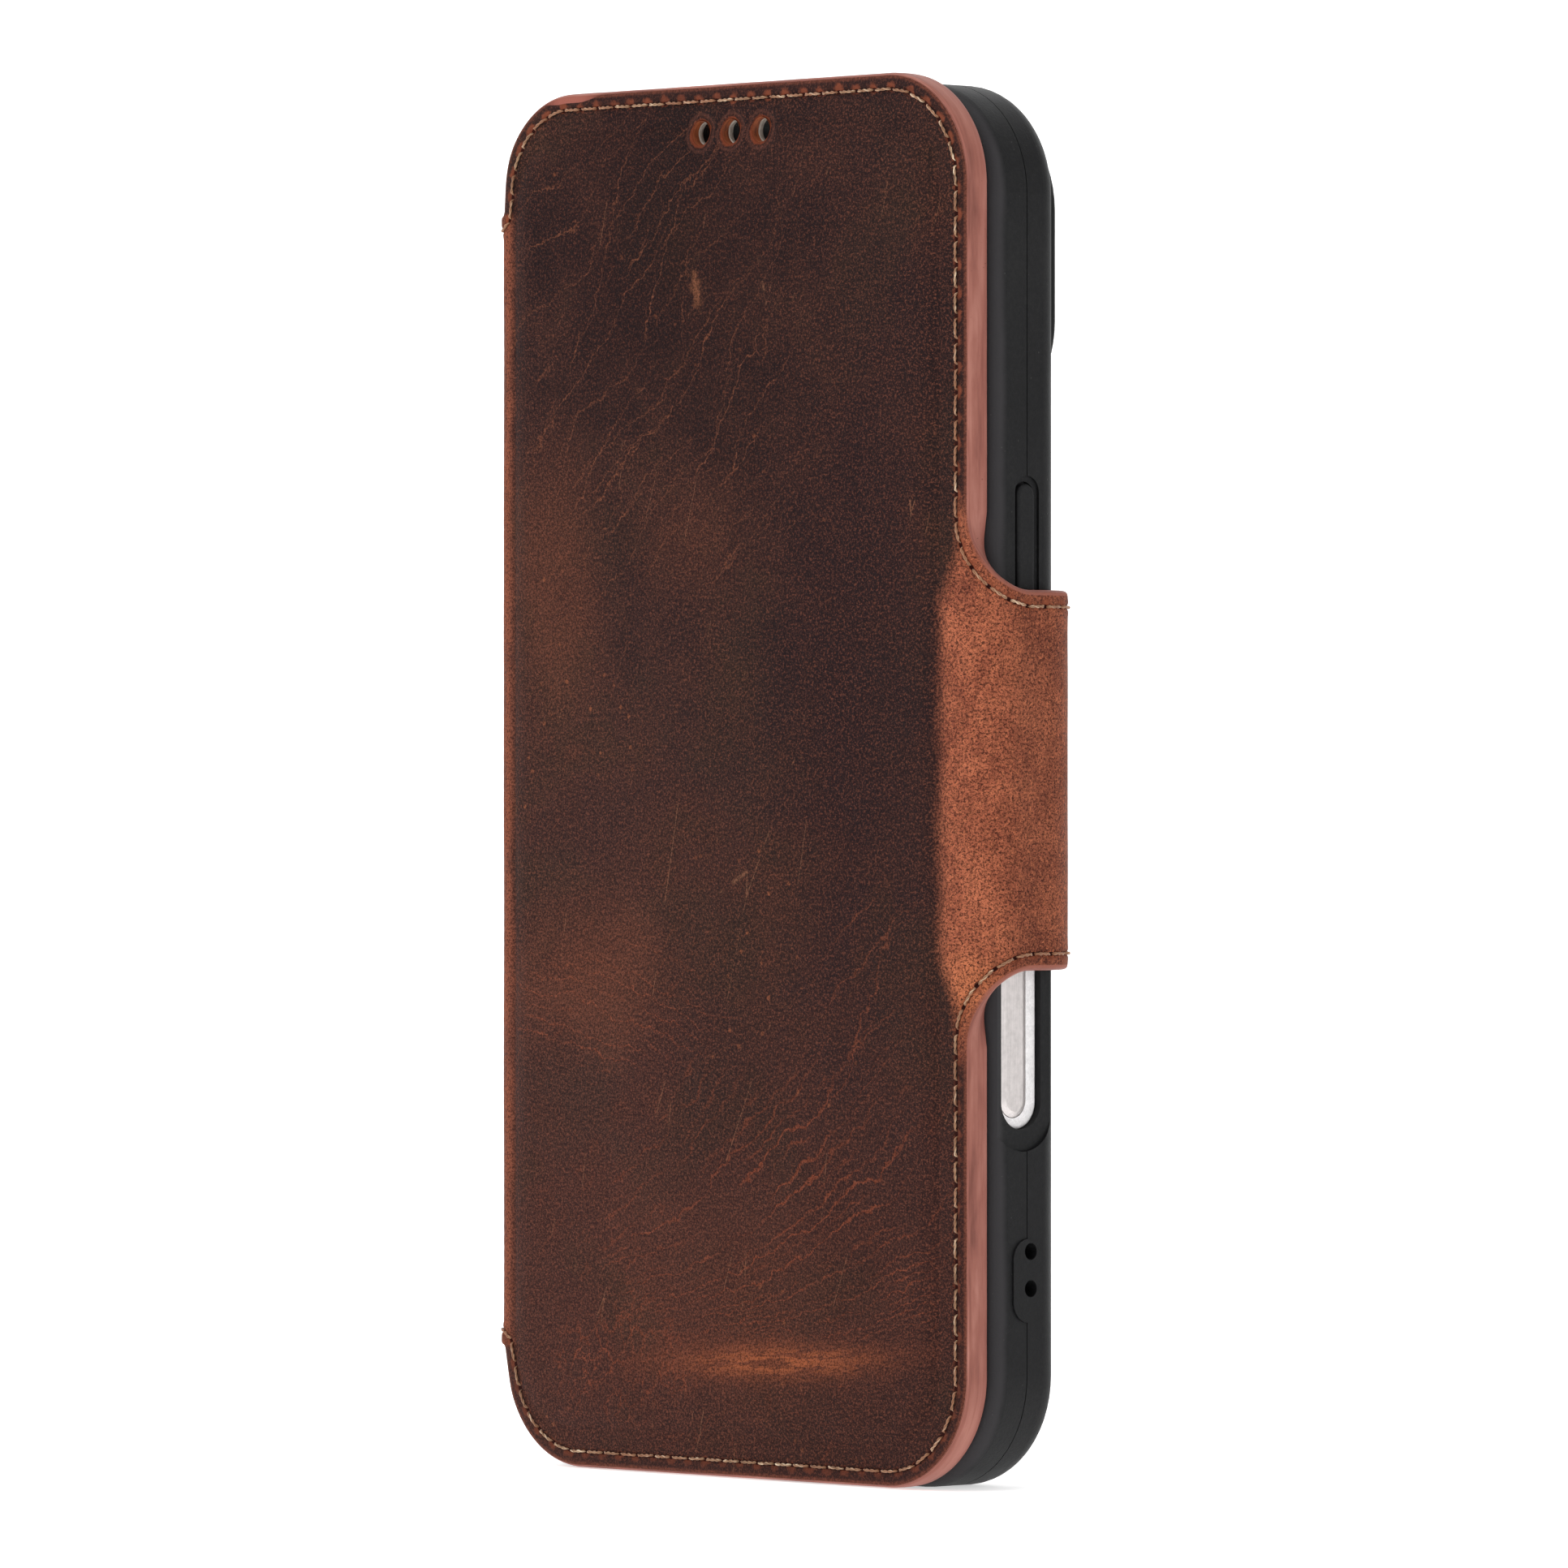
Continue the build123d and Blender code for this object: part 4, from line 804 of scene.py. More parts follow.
    tcol = M.mix(tsp3, tcol, lin((206, 122, 84)))
    tcol = M.mix(M.math("MAXIMUM", tsp, tsp2), tcol, lin((74, 38, 29)))
    col = M.mix(tab, col, tcol)
    q = M.math("MULTIPLY", sx, -1.0)
    rag0 = cen(n3, 1.6)
    fold = M.math("MULTIPLY", M.step(M.math("ADD", q, rag0), 37.9, 39.9), M.step(q, 60.0, 56.5))
    fold2 = M.math("SUBTRACT", 1.0, M.math("MULTIPLY", M.step(q, 44.6, 47.0), M.step(q, 54.5, 52.0)))
    fold = M.math("MULTIPLY", M.math("MULTIPLY", fold, M.step(absz, 70.0, 69.2)), M.math("ADD", M.math("MULTIPLY", fold2, 0.65), 0.3))
    fold = M.math("MULTIPLY", fold, M.step(M.noise(M.along(flat, 90, (9.0, 2.5)), 1.0, 4.0, 0.6), 0.25, 0.60, 0.45, 1.0))
    col = M.mix(M.math("MULTIPLY", fold, 0.82), col, lin((150, 84, 60)))
    # grain in the colour
    gm = M.math("ADD", M.math("MULTIPLY", g1, 0.5), M.math("MULTIPLY", g2, 0.5))
    # the grain's pale spots are dimmed under the painted shade at the top
    lit = M.math("SUBTRACT", 1.0, M.math("MULTIPLY", M.math("MULTIPLY", top_shade_mask, front), 0.35))
    col = M.mix(M.step(gm, 0.43, 0.54, 0.70, 0.0), col, lin((17, 7, 9)))
    col = M.mix(M.math("MULTIPLY", M.step(gm, 0.50, 0.62, 0.0, 0.56), lit), col, lin((122, 70, 52)))
    # border outside the stitches is rubbed darker
    bnd = M.math("MULTIPLY", M.step(d, 1.95, 1.2), M.math("SUBTRACT", 1.0, M.math("MULTIPLY", tab, 0.8)))
    col = M.mix(M.math("MULTIPLY", bnd, 0.35), col, lin((50, 28, 26)))
    crs = M.math("MULTIPLY", M.step(M.math("ABSOLUTE", M.math("SUBTRACT", d, 0.25)), 0.5, 0.1), M.step(g1, 0.35, 0.6, 0.2, 0.6))
    col = M.mix(crs, col, lin((120, 66, 50)))
    # needle holes: painted shade inside, pulled-up orange around, most of it on the outer side
    k = M.math("DIVIDE", a, PITCH)
    m = M.math("ABSOLUTE", M.math("SUBTRACT", M.math("FRACT", M.math("ADD", k, 0.5)), 0.5))
    m = M.math("MULTIPLY", m, PITCH)
    rag = cen(M.noise(flat, 1.7, 3.0, 0.65), 1.1)

    def oval(rm, re, at, r):
        u = M.math("DIVIDE", m, rm)
        v = M.math("DIVIDE", M.math("SUBTRACT", d, at), re)
        o = M.math("SQRT", M.math("ADD", M.math("MULTIPLY", u, u), M.math("MULTIPLY", v, v)))
        return M.math("ADD", o, r)
    rag2 = cen(M.noise(M.mapping(flat, loc=(4, 9, 2)), 0.55, 4.0, 0.7), 2.6)
    halo = M.step(oval(0.80, 0.62, DS - 0.30, M.math("ADD", rag, rag2)), 1.25, 0.50)
    amt = M.math("MULTIPLY", M.step(sz, -60.0, 60.0, 0.45, 0.75), M.step(n3, 0.35, 0.6, 0.6, 1.0))
    col = M.mix(M.math("MULTIPLY", halo, amt), col, lin((124, 64, 43)))
    needle_hole_shade = M.step(oval(0.44, 0.26, DS, 0.0), 1.15, 0.80)
    col = M.mix(needle_hole_shade, col, lin((42, 13, 9)))
    # speaker holes' burnished rims
    for hx, hz in HOLES:
        ax = M.math("SUBTRACT", sx, hx)
        az = M.math("SUBTRACT", sz, hz)
        r = M.math("SQRT", M.math("ADD", M.math("MULTIPLY", ax, ax), M.math("MULTIPLY", az, az)))
        r = M.math("ADD", r, M.math("MULTIPLY", rag, 0.35))
        r = M.math("ADD", r, M.math("MULTIPLY", rag2, 0.16))
        col = M.mix(M.step(r, 1.95, 1.62, 0.0, 0.70), col, lin((122, 58, 34)))
        ringm = M.step(M.math("ABSOLUTE", M.math("SUBTRACT", r, 2.25)), 0.34, 0.05, 0.0, 0.26)
        col = M.mix(ringm, col, lin((104, 62, 50)))
    # the edge paint laps onto the face at the top left corner
    tl = M.math("MULTIPLY", M.math("MULTIPLY", M.step(sx, 40.0, 42.5), M.step(absz, 34.0, 31.0)), M.step(M.math("ADD", d, M.math("MULTIPLY", rag, 0.12)), 0.62, 0.42))
    col = M.mix(M.math("MULTIPLY", tl, 0.85), col, lin((148, 92, 78)))
    lap = M.math("MULTIPLY", M.math("MULTIPLY", M.step(sx, -34.5, -30.0), M.step(sx, -21.0, -27.0)), M.step(sz, 70.0, 75.0))
    lap = M.math("MULTIPLY", lap, M.step(M.math("SUBTRACT", d, M.math("MULTIPLY", lap, 1.0)), 0.05, -0.05))
    col = M.mix(lap, col, lin((146, 86, 74)))
    rough = M.math("ADD", M.step(n2, 0.35, 0.65, 0.50, 0.62), M.math("MULTIPLY", tab, 0.06))
    rough = M.math("ADD", rough, M.step(g2, 0.3, 0.7, -0.06, 0.06))
    rough = M.math("ADD", rough, M.math("MULTIPLY", fold, 0.25))
    # relief: pores, grain cells, fine wrinkles, creases
    cells = M.step(M.voro(wflat, 1.7, "DISTANCE_TO_EDGE"), 0.0, 0.16)
    wr = M.noise(M.along(flat, 50, (3.6, 1.7)), 1.0, 5.0, 0.62)
    h = M.math("ADD", M.math("MULTIPLY", cells, 0.30), M.math("MULTIPLY", gm, 0.9))
    h = M.math("ADD", h, M.math("MULTIPLY", wr, 1.1))
    h = M.math("SUBTRACT", h, M.math("MULTIPLY", vein, 0.55))
    nrm = M.bump(h, 0.55, 0.00010)
    return M.set(color=col, rough=rough, normal=nrm, spec=0.07)


def paint_material():
    M = Mat("edge_paint")
    p = M.attr("flat")
    u, v, w = M.sep(p)
    st = M.noise(M.mapping(p, scale=(0.05, 2.6, 1)), 1.0, 5.0, 0.6)
    st2 = M.noise(M.mapping(p, scale=(0.07, 1.2, 1), loc=(9, 3, 1)), 1.0, 4.0, 0.6)
    col = M.ramp(M.math("ADD", M.math("MULTIPLY", st, 0.6), M.math("MULTIPLY", st2, 0.4)),
                 [(0.40, lin((120, 73, 64))), (0.5, lin((150, 95, 83))), (0.60, lin((172, 117, 104)))])
    col = M.mix(M.step(v, 0.25, 0.8, 0.0, 0.45), col, lin((138, 80, 70)))
    sp = M.step(M.voro(M.mapping(p, scale=(1.0, 3.0, 1)), 0.9), 0.10, 0.05)
    sp = M.math("MULTIPLY", sp, M.step(M.noise(p, 0.3, 2.0), 0.52, 0.6))
    col = M.mix(M.math("MULTIPLY", sp, 0.6), col, lin((88, 44, 36)))
    h = M.math("ADD", M.math("MULTIPLY", st, 0.9), M.noise(M.mapping(p, scale=(0.8, 4.0, 1)), 1.6, 4.0, 0.6))
    return M.set(color=col, rough=M.step(st2, 0.3, 0.7, 0.40, 0.55), normal=M.bump(h, 0.5, 0.00008), spec=0.13)


def thread_material():
    M = Mat("thread")
    p = M.attr("flat")
    t = M.attr("ply", False)
    n = M.noise(p, 1.4, 3.0, 0.6)
    n2 = M.noise(M.mapping(p, loc=(3, 1, 8)), 0.09, 3.0, 0.6)
    col = M.ramp(n, [(0.36, lin((118, 84, 60))), (0.54, lin((154, 118, 88))), (0.66, lin((222, 198, 168)))])
    col = M.mix(M.step(n2, 0.38, 0.60, 0.0, 0.6), col, lin((150, 98, 68)))
    fib = M.noise(M.mapping(p, scale=(3.0, 3.0, 3.0)), 3.0, 4.0, 0.7)
    return M.set(color=col, rough=0.62, normal=M.bump(fib, 0.4, 0.00005), sheen=0.25, sheen_rough=0.4, spec=0.3)


def tpu_material():
    M = Mat("moulded_black")
    p = M.mapping(M.obj(), scale=(1000, 1000, 1000))
    g = M.noise(p, 2.2, 5.0, 0.7)
    g2 = M.noise(p, 0.06, 4.0, 0.6)
    vo = M.voro(p, 3.4)
    col = M.ramp(M.math("ADD", M.math("MULTIPLY", g, 0.6), M.math("MULTIPLY", g2, 0.4)),
                 [(0.36, lin((20, 20, 21))), (0.52, lin((26, 26, 27))), (0.68, lin((34, 34, 34)))])
    # painted light: the front lip is paler, as if it catches the light; the camera ring's wall is darker
    _, py, _ = M.sep(p)
    lip_painted_light = M.step(M.math("ADD", py, M.math("MULTIPLY", M.math("SUBTRACT", g2, 0.5), 1.2)), -2.7, -3.9)
    col = M.mix(M.math("MULTIPLY", lip_painted_light, 0.80), col, lin((56, 54, 56)))
    col = M.mix(M.step(py, 6.5, 7.1, 0.0, 0.7), col, lin((13, 13, 13)))
    dust = M.math("MULTIPLY", M.step(M.voro(M.mapping(p, loc=(5, 5, 5)), 1.1), 0.13, 0.07), M.step(M.noise(p, 0.5, 2.0), 0.55, 0.65))
    col = M.mix(M.math("MULTIPLY", dust, 0.35), col, lin((84, 82, 80)))
    h = M.math("ADD", M.math("MULTIPLY", g, 0.8), M.math("MULTIPLY", vo, 0.5))
    return M.set(color=col, rough=M.step(g2, 0.35, 0.65, 0.44, 0.54), normal=M.bump(h, 0.35, 0.00006), spec=0.14)


def metal_material(name, base, rough, along=(8.0, 8.0, 0.12), metal=1.0):
    M = Mat(name)
    p = M.mapping(M.obj(), scale=(1000, 1000, 1000))
    br = M.noise(M.mapping(p, scale=along), 2.0, 5.0, 0.6)
    n = M.noise(p, 1.3, 4.0, 0.6)
    c0 = tuple(int(v * 0.86) for v in base)
    col = M.ramp(M.math("ADD", M.math("MULTIPLY", br, 0.6), M.math("MULTIPLY", n, 0.4)), [(0.35, lin(c0)), (0.62, lin(base))])
    return M.set(color=col, rough=M.step(br, 0.3, 0.7, rough - 0.06, rough + 0.08), normal=M.bump(br, 0.30, 0.00003), metal=metal)


def suede_material():
    M = Mat("lining_suede")
    p = M.attr("flat")
    n = M.noise(p, 0.12, 5.0, 0.6, 0.5)
    g = M.noise(p, 3.0, 5.0, 0.7)
    col = M.ramp(n, [(0.34, lin((72, 48, 38))), (0.52, lin((88, 60, 47))), (0.68, lin((104, 72, 56)))])
    col = M.mix(M.step(g, 0.38, 0.64, 0.35, 0.0), col, lin((48, 30, 24)))
    h = M.math("ADD", g, M.noise(p, 9.0, 3.0, 0.7))
    return M.set(color=col, rough=0.92, normal=M.bump(h, 0.6, 0.00010), sheen=0.35, sheen_rough=0.5, spec=0.2)


def pocket_material():
    M = Mat("pocket_leather")
    p = M.attr("flat")
    n = M.noise(p, 0.045, 5.0, 0.6, 0.6)
    n2 = M.noise(M.mapping(p, loc=(9, 9, 9)), 0.3, 5.0, 0.65, 0.3)
    g = M.noise(p, 2.4, 5.0, 0.65)
    col = M.ramp(M.math("ADD", M.math("MULTIPLY", n, 0.65), M.math("MULTIPLY", n2, 0.35)),
                 [(0.35, lin((104, 58, 38))), (0.5, lin((130, 74, 47))), (0.66, lin((154, 90, 56)))])
    wv = M.vadd(M.vadd(M.noise(p, 0.12, 3.0, 0.5, color=True), (0.5, 0.5, 0.5), "SUBTRACT"), 6.0, "SCALE")
    v = M.step(M.voro(M.mapping(M.vadd(p, wv), scale=(1, 0.6, 1), rot=(0, 0, 0.6)), 0.3, "DISTANCE_TO_EDGE"), 0.03, 0.0)
    v = M.math("MULTIPLY", v, M.step(n2, 0.48, 0.6))
    col = M.mix(M.math("MULTIPLY", v, 0.5), col, lin((176, 108, 68)))
    col = M.mix(M.step(g, 0.36, 0.62, 0.30, 0.0), col, lin((62, 34, 24)))
    cells = M.step(M.voro(p, 1.6, "DISTANCE_TO_EDGE"), 0.0, 0.14)
    h = M.math("ADD", M.math("MULTIPLY", cells, 0.35), M.math("ADD", g, M.math("MULTIPLY", n2, 1.2)))
    return M.set(color=col, rough=M.step(n2, 0.35, 0.65, 0.46, 0.58), normal=M.bump(h, 0.5, 0.00009), spec=0.4)


def layer_material(name, c1, c2, rough=0.8):
    M = Mat(name)
    p = M.attr("flat")
    n = M.noise(M.mapping(p, scale=(0.6, 2.0, 2.0)), 1.2, 5.0, 0.7)
    col = M.ramp(n, [(0.35, lin(c1)), (0.65, lin(c2))])
    return M.set(color=col, rough=rough, normal=M.bump(n, 0.5, 0.00010))


MAT_LEATHER = leather_material("wrap_leather")
MAT_PAINT = paint_material()
MAT_THREAD = thread_material()
MAT_TPU = tpu_material()
MAT_KEY = metal_material("key_silver", (226, 219, 217), 0.40)
# painted highlight: the bezel is near white and barely metallic, standing in for the bright reflection on its silver
MAT_BEZEL_PAINTED_HIGHLIGHT = metal_material("bezel_silver_painted_highlight", (254, 251, 251), 0.42, (6.0, 6.0, 2.0), 0.08)
MAT_MAGNET = metal_material("magnet_nickel", (168, 168, 170), 0.30, (3, 3, 3))
MAT_SUEDE = suede_material()
MAT_POCKET = pocket_material()
MAT_BURN = layer_material("burnished_cut", (96, 46, 24), (158, 82, 42), 0.65)
MAT_GREY = layer_material("board_grey", (138, 128, 118), (196, 186, 174), 0.9)
# painted shade for the deep part of the speaker holes
MAT_HOLE_SHADE = layer_material("painted_hole_shade", (8, 7, 7), (16, 14, 13), 0.9)

flat3 = np.concatenate([SV, np.zeros((len(SV), 1))], 1)
sheet = split("leather", P3, quads + tris, SV[:, 0], MAT_LEATHER,
              {"flat": flat3, "edge_d": SD, "row": SA})
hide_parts("cover_leather", "cover_padding")
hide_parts("spine_leather")
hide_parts("back_leather")
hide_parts("clasp_side_leather")
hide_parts("clasp_end_leather")


# ------------------------------------------------------------- painted edges
def thickness(s, zp):
    """How thick the layers are where the edge passes."""
    s = np.asarray(s, float)
    az = np.abs(zp)
    t = np.full_like(s, 1.0)
    t = np.where(s > -62.5, 1.0 + 0.7 * sstep(-62.5, -60.5, s), t)
    cov = 2.2 + 0.35 * sstep(-34.3, -33.7, s) + 0.3 * sstep(-26.3, -25.7, s) \
        + 0.3 * sstep(-16.3, -15.7, s) + 0.3 * sstep(-6.3, -5.7, s)
    iscov = (s > -41.65) & ((az > 69.45) | (s > 0))
    t = np.where(iscov, cov, t)
    tab = sstep(40.15, 43.6, s)
    t = np.where(s > 39.0, 3.45 * (1 - tab) + 1.7 * tab, t)
    return t


def painted_edge():
    prof = [(0.20, None, -0.10), (0.07, None, -0.19), (-0.02, None, -0.30), (-0.085, None, -0.46), (-0.125, None, -0.68),
            (-0.14, 0.35, None), (-0.145, 0.5, None), (-0.14, 0.65, None), (-0.125, 0.80, None),
            (-0.07, None, 1.0), (0.04, None, 2.0), (0.22, None, 3.0), (0.8, None, 4.0)]
    r0 = ring(OUTLINE, 0.0, STEP)
    T = thickness(r0[:, 0], r0[:, 1])
    wob = 0.03 * hnoise(r0, 1 / 4.0, 5.5) + 0.015 * hnoise(r0, 1 / 1.3, 8.5)
    rows, flats = [], []
    for k, (d, f, o) in enumerate(prof):
        r = ring(OUTLINE, d, STEP)
        if f is not None:
            off = -(0.68 + f * (T - 0.68 - 0.25))
        elif o < 0:
            off = np.full(NR, o) * np.clip(T, 1.0, 1.6) ** 0.2
            off = np.where(T < 1.2, np.full(NR, o * 0.85), off)
        else:
            off = -(T - {1.0: 0.25, 2.0: 0.10, 3.0: 0.02, 4.0: 0.0}[o])
        # small unevenness of the paint
        nrm = (r - ring(OUTLINE, d + 0.2, STEP))
        nrm /= np.linalg.norm(nrm, axis=1, keepdims=True) + 1e-9
        amp = 1.0 if (f is not None) else 0.4
        if k in (0, 11, 12):
            amp = 0.0
        r = r + nrm * (wob * amp)[:, None]
        rows.append(place(r[:, 0], r[:, 1], off))
        flats.append(np.stack([arc, np.full(NR, k / 12.0), r0[:, 0] * 0 + 0.0], -1))
    V = np.concatenate(rows)
    FL = np.concatenate(flats)
    S = np.tile(r0[:, 0], len(prof))
    idx = np.arange(NR)
    nxt = (idx + 1) % NR
    F = []
    for k in range(len(prof) - 1):
        F.append(np.stack([k * NR + nxt, k * NR + idx, (k + 1) * NR + idx, (k + 1) * NR + nxt], -1))
    F = [list(map(int, f)) for f in np.concatenate(F)]
    return V, F, S, FL


EV, EF, ES, EFL = painted_edge()
edge = split("edge", EV, EF, ES, MAT_PAINT, {"flat": EFL})
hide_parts("cover_board")


# ------------------------------------------------------------------ stitches
def stitch_mesh(n, spot, length, jig, flat, plies=2, rad=0.092, high=0.16):
    """Two-ply thread lengths, each dipping into the hole at both ends.
    spot(i, along, across, up) gives points on the sewn face for stitch numbers i."""
    nseg, sides = 18, 7
    u = np.linspace(0, 1, nseg + 1)
    e = np.abs(2 * u - 1)
    V, F, FL, PL = [], [], [], []
    i = np.arange(n)
    for p in range(plies):
        j = jig[:, :, None]
        x = (u - 0.5)[None] * length * (1 + 0.03 * j[:, 1])
        h = high * (1 - e ** 5) - 0.42 * np.clip(e - 0.80, 0, 1) / 0.20
        h = h[None] + 0.02 * j[:, 1]
        a = 2 * math.pi * p / plies + j[:, 2] * 2.0 + u[None] * 2 * math.pi * 1.55
        sq = (0.095 * (1 - 0.45 * np.clip(e - 0.75, 0, 1) / 0.25))[None]
        lat = sq * np.cos(a) + 0.02 * j[:, 3] + x * 0.05 * j[:, 0]
        up = h + 0.075 * np.sin(a)
        ii = np.repeat(i[:, None], nseg + 1, 1)
        P = spot(ii.ravel(), x.ravel(), lat.ravel(), up.ravel()).reshape(n, nseg + 1, 3)
        Q = spot(ii.ravel(), x.ravel(), lat.ravel(), up.ravel() + 0.5).reshape(n, nseg + 1, 3)
        N = Q - P
        D = np.empty_like(P)
        D[:, 1:-1] = P[:, 2:] - P[:, :-2]
        D[:, 0] = P[:, 1] - P[:, 0]
        D[:, -1] = P[:, -1] - P[:, -2]
        D /= np.linalg.norm(D, axis=-1, keepdims=True)
        B = np.cross(D, N)
        B /= np.linalg.norm(B, axis=-1, keepdims=True) + 1e-9
        W = np.cross(B, D)
        rr = rad * (1 - 0.35 * np.clip(e - 0.85, 0, 1) / 0.15)
        aa = np.arange(sides) * 2 * math.pi / sides
        R = P[:, :, None] + (B[:, :, None] * np.cos(aa)[None, None, :, None]
                             + W[:, :, None] * np.sin(aa)[None, None, :, None]) * rr[None, :, None, None]
        b0 = len(V) and sum(len(v) for v in V)
        V.append(R.reshape(-1, 3))
        fl = np.empty((n, nseg + 1, sides, 3))
        fl[..., 0] = np.asarray(flat)[:, None, None, 0] + u[None, :, None] * 0.7
        fl[..., 1] = np.asarray(flat)[:, None, None, 1] + np.arange(sides)[None, None] * 0.03
        fl[..., 2] = i[:, None, None] * 0.37 + p
        FL.append(fl.reshape(-1, 3))
        PL.append(np.full(n * (nseg + 1) * sides, float(p)))
        for m in range(n):
            s0 = b0 + m * (nseg + 1) * sides
            for k in range(nseg):
                a0 = s0 + k * sides
                for q in range(sides):
                    q2 = (q + 1) % sides
                    F.append([a0 + q, a0 + q2, a0 + sides + q2, a0 + sides + q])
            F.append([s0 + q for q in range(sides)][::-1])
            F.append([s0 + nseg * sides + q for q in range(sides)])
    return np.concatenate(V), F, np.concatenate(FL), np.concatenate(PL)


def row_point(u):
    u = np.asarray(u) % ROW_LEN
    k = np.clip(np.searchsorted(arc, u, side="right") - 1, 0, NR - 1)
    f = (u - arc[k]) / np.maximum(seg[k], 1e-9)
    a, b = row[k], row[(k + 1) % NR]
    return a + (b - a) * f[:, None]


NST = int(round(ROW_LEN / PITCH))
uc = (np.arange(NST) + 0.5) * PITCH
cen2 = row_point(uc)


def row_spot(which):
    def spot(i, along, across, up):
        u = uc[which][i] + along
        c = row_point(u)
        t = row_point(u + 0.1) - row_point(u - 0.1)
        t /= np.linalg.norm(t, axis=1, keepdims=True)
        c = c + np.stack([-t[:, 1], t[:, 0]], -1) * across[:, None]
        return place(c[:, 0], c[:, 1], up - 0.02)
    return spot


jig = rng.normal(0, 0.5, (NST, 4)).clip(-1, 1)
THR = {
    "back": ("back_stitching",), "fold_back": ("spine_stitching",), "cover": ("cover_stitching",),
    "fold_clasp": ("clasp_side_stitching",), "clasp_end": ("clasp_end_stitching",),
}
for k, (nm, body, bl) in enumerate(STRIPS):
    pick = np.nonzero(strip_of(cen2[:, 0], cen2[:, 1]) == k)[0]
    if not len(pick):
        continue
    V, F, FL, PL = stitch_mesh(len(pick), row_spot(pick), PITCH - 0.46, jig[pick], cen2[pick])
    ob = make_mesh(f"stitches_{nm}", V, F, MAT_THREAD, attrs={"flat": FL, "ply": PL})
    attach(ob, k)
    if nm in THR:
        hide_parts(*THR[nm])


# ---------------------------------------------------------- lining of the wrap
def lining(name, s0, s1, half, cols, rows_n, o_in, o_out, mat, bevel=0.22):
    """A thin closed slab between two offsets, following the wrap."""
    S = cols
    v = np.linspace(-1, 1, rows_n)
    grid_in, grid_out, fl = [], [], []
    for s in S:
        hw = half(s)
        z = v * hw
        edge_s = min(s - S[0], S[-1] - s)
        dd = np.minimum(hw - np.abs(z), edge_s)
        lift = np.where(dd < 0.5, (0.5 - dd) / 0.5, 0.0) ** 2 * bevel
        n = 0.02 * hnoise(np.stack([np.full_like(z, s), z], -1), 1 / 9.0, 4.2)
        grid_in.append(place(np.full_like(z, s), z, np.full_like(z, o_in) + lift + n * (dd > 0.6)))
        grid_out.append(place(np.full_like(z, s), z, np.full_like(z, o_out)))
        fl.append(np.stack([np.full_like(z, s), z, z * 0], -1))
    V = np.concatenate(grid_in + grid_out)
    FL = np.concatenate(fl + fl)
    n, m = len(S), rows_n
    F = []
    for i in range(n - 1):
        for j in range(m - 1):
            a, b, c, d = i * m + j, (i + 1) * m + j, (i + 1) * m + j + 1, i * m + j + 1
            F.append([d, c, b, a])
            F.append([a + n * m, b + n * m, c + n * m, d + n * m])
    for i in range(n - 1):
        a, b = i * m, (i + 1) * m
        F.append([a, b, b + n * m, a + n * m])
        a, b = i * m + m - 1, (i + 1) * m + m - 1
        F.append([b, a, a + n * m, b + n * m])
    for j in range(m - 1):
        a, b = j, j + 1
        F.append([b, a, a + n * m, b + n * m])
        a, b = (n - 1) * m + j, (n - 1) * m + j + 1
        F.append([a, b, b + n * m, a + n * m])
    SS = FL[:, 0]
    return V, F, SS, FL


def clasp_half(s):
    h = 22.2
    if s < 48.6:
        t = 48.6 - max(s, 40.3)
        h = 30.7 - math.sqrt(max(8.65 ** 2 - t * t, 0.0))
        if s < 40.3:
            h = 30.7 - math.sqrt(max(8.65 ** 2 - 8.3 ** 2, 0)) 
        h = min(h, 28.2)
    if s > S_END - 6.1:
        t = s - (S_END - 6.1)
        h = 22.2 - (5.95 - math.sqrt(max(5.95 ** 2 - t * t, 0.0)))
    return h


def edge_rows(n_mid, hw):
    return n_mid


cols = np.concatenate([[-61.6, -61.5, -61.3, -61.0], np.arange(-60.6, -35.6, 0.5), [-35.3, -35.1, -35.0]])
V, F, SS, FL = lining("lin", -61.6, -35.0, lambda s: 69.3, cols, 90, -1.7, -1.02, MAT_SUEDE)
for k in (1, 2):
    lo, hi = CUTS[k], (CUTS[k + 1] if k == 1 else 0.0)
    fs = np.array([SS[f].mean() for f in F])
    pick = [F[i] for i in np.nonzero((fs >= lo) & (fs < hi))[0]]
    used = np.unique(np.concatenate([np.asarray(f) for f in pick]))
    mp = -np.ones(len(V), int)
    mp[used] = np.arange(len(used))
    ob = make_mesh(f"lining_{STRIPS[k][0]}", V[used], [[int(mp[i]) for i in f] for f in pick], MAT_SUEDE,
                   attrs={"flat": FL[used]})
    attach(ob, k)
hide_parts("spine_lining")

cols = np.concatenate([[36.9, 37.0, 37.2], np.arange(37.6, 79.0, 0.6), np.arange(79.2, S_END - 0.35, 0.35), [S_END - 0.32, S_END - 0.2, S_END - 0.14]])
V, F, SS, FL = lining("linc", 36.9, S_END, clasp_half, cols, 60, -1.7, -1.02, MAT_SUEDE)
part = strip_of([SS[f].mean() for f in F], [FL[f][:, 1].mean() for f in F])
for k in (4, 5, 6, 7, 8):
    pick = [F[i] for i in np.nonzero(part == k)[0]]
    used = np.unique(np.concatenate([np.asarray(f) for f in pick]))
    mp = -np.ones(len(V), int)
    mp[used] = np.arange(len(used))
    ob = make_mesh(f"lining_{STRIPS[k][0]}", V[used], [[int(mp[i]) for i in f] for f in pick], MAT_SUEDE,
                   attrs={"flat": FL[used]})
    attach(ob, k)
    if k == 5:
        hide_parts("clasp_side_lining")
    if k == 6:
        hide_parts("clasp_end_lining")


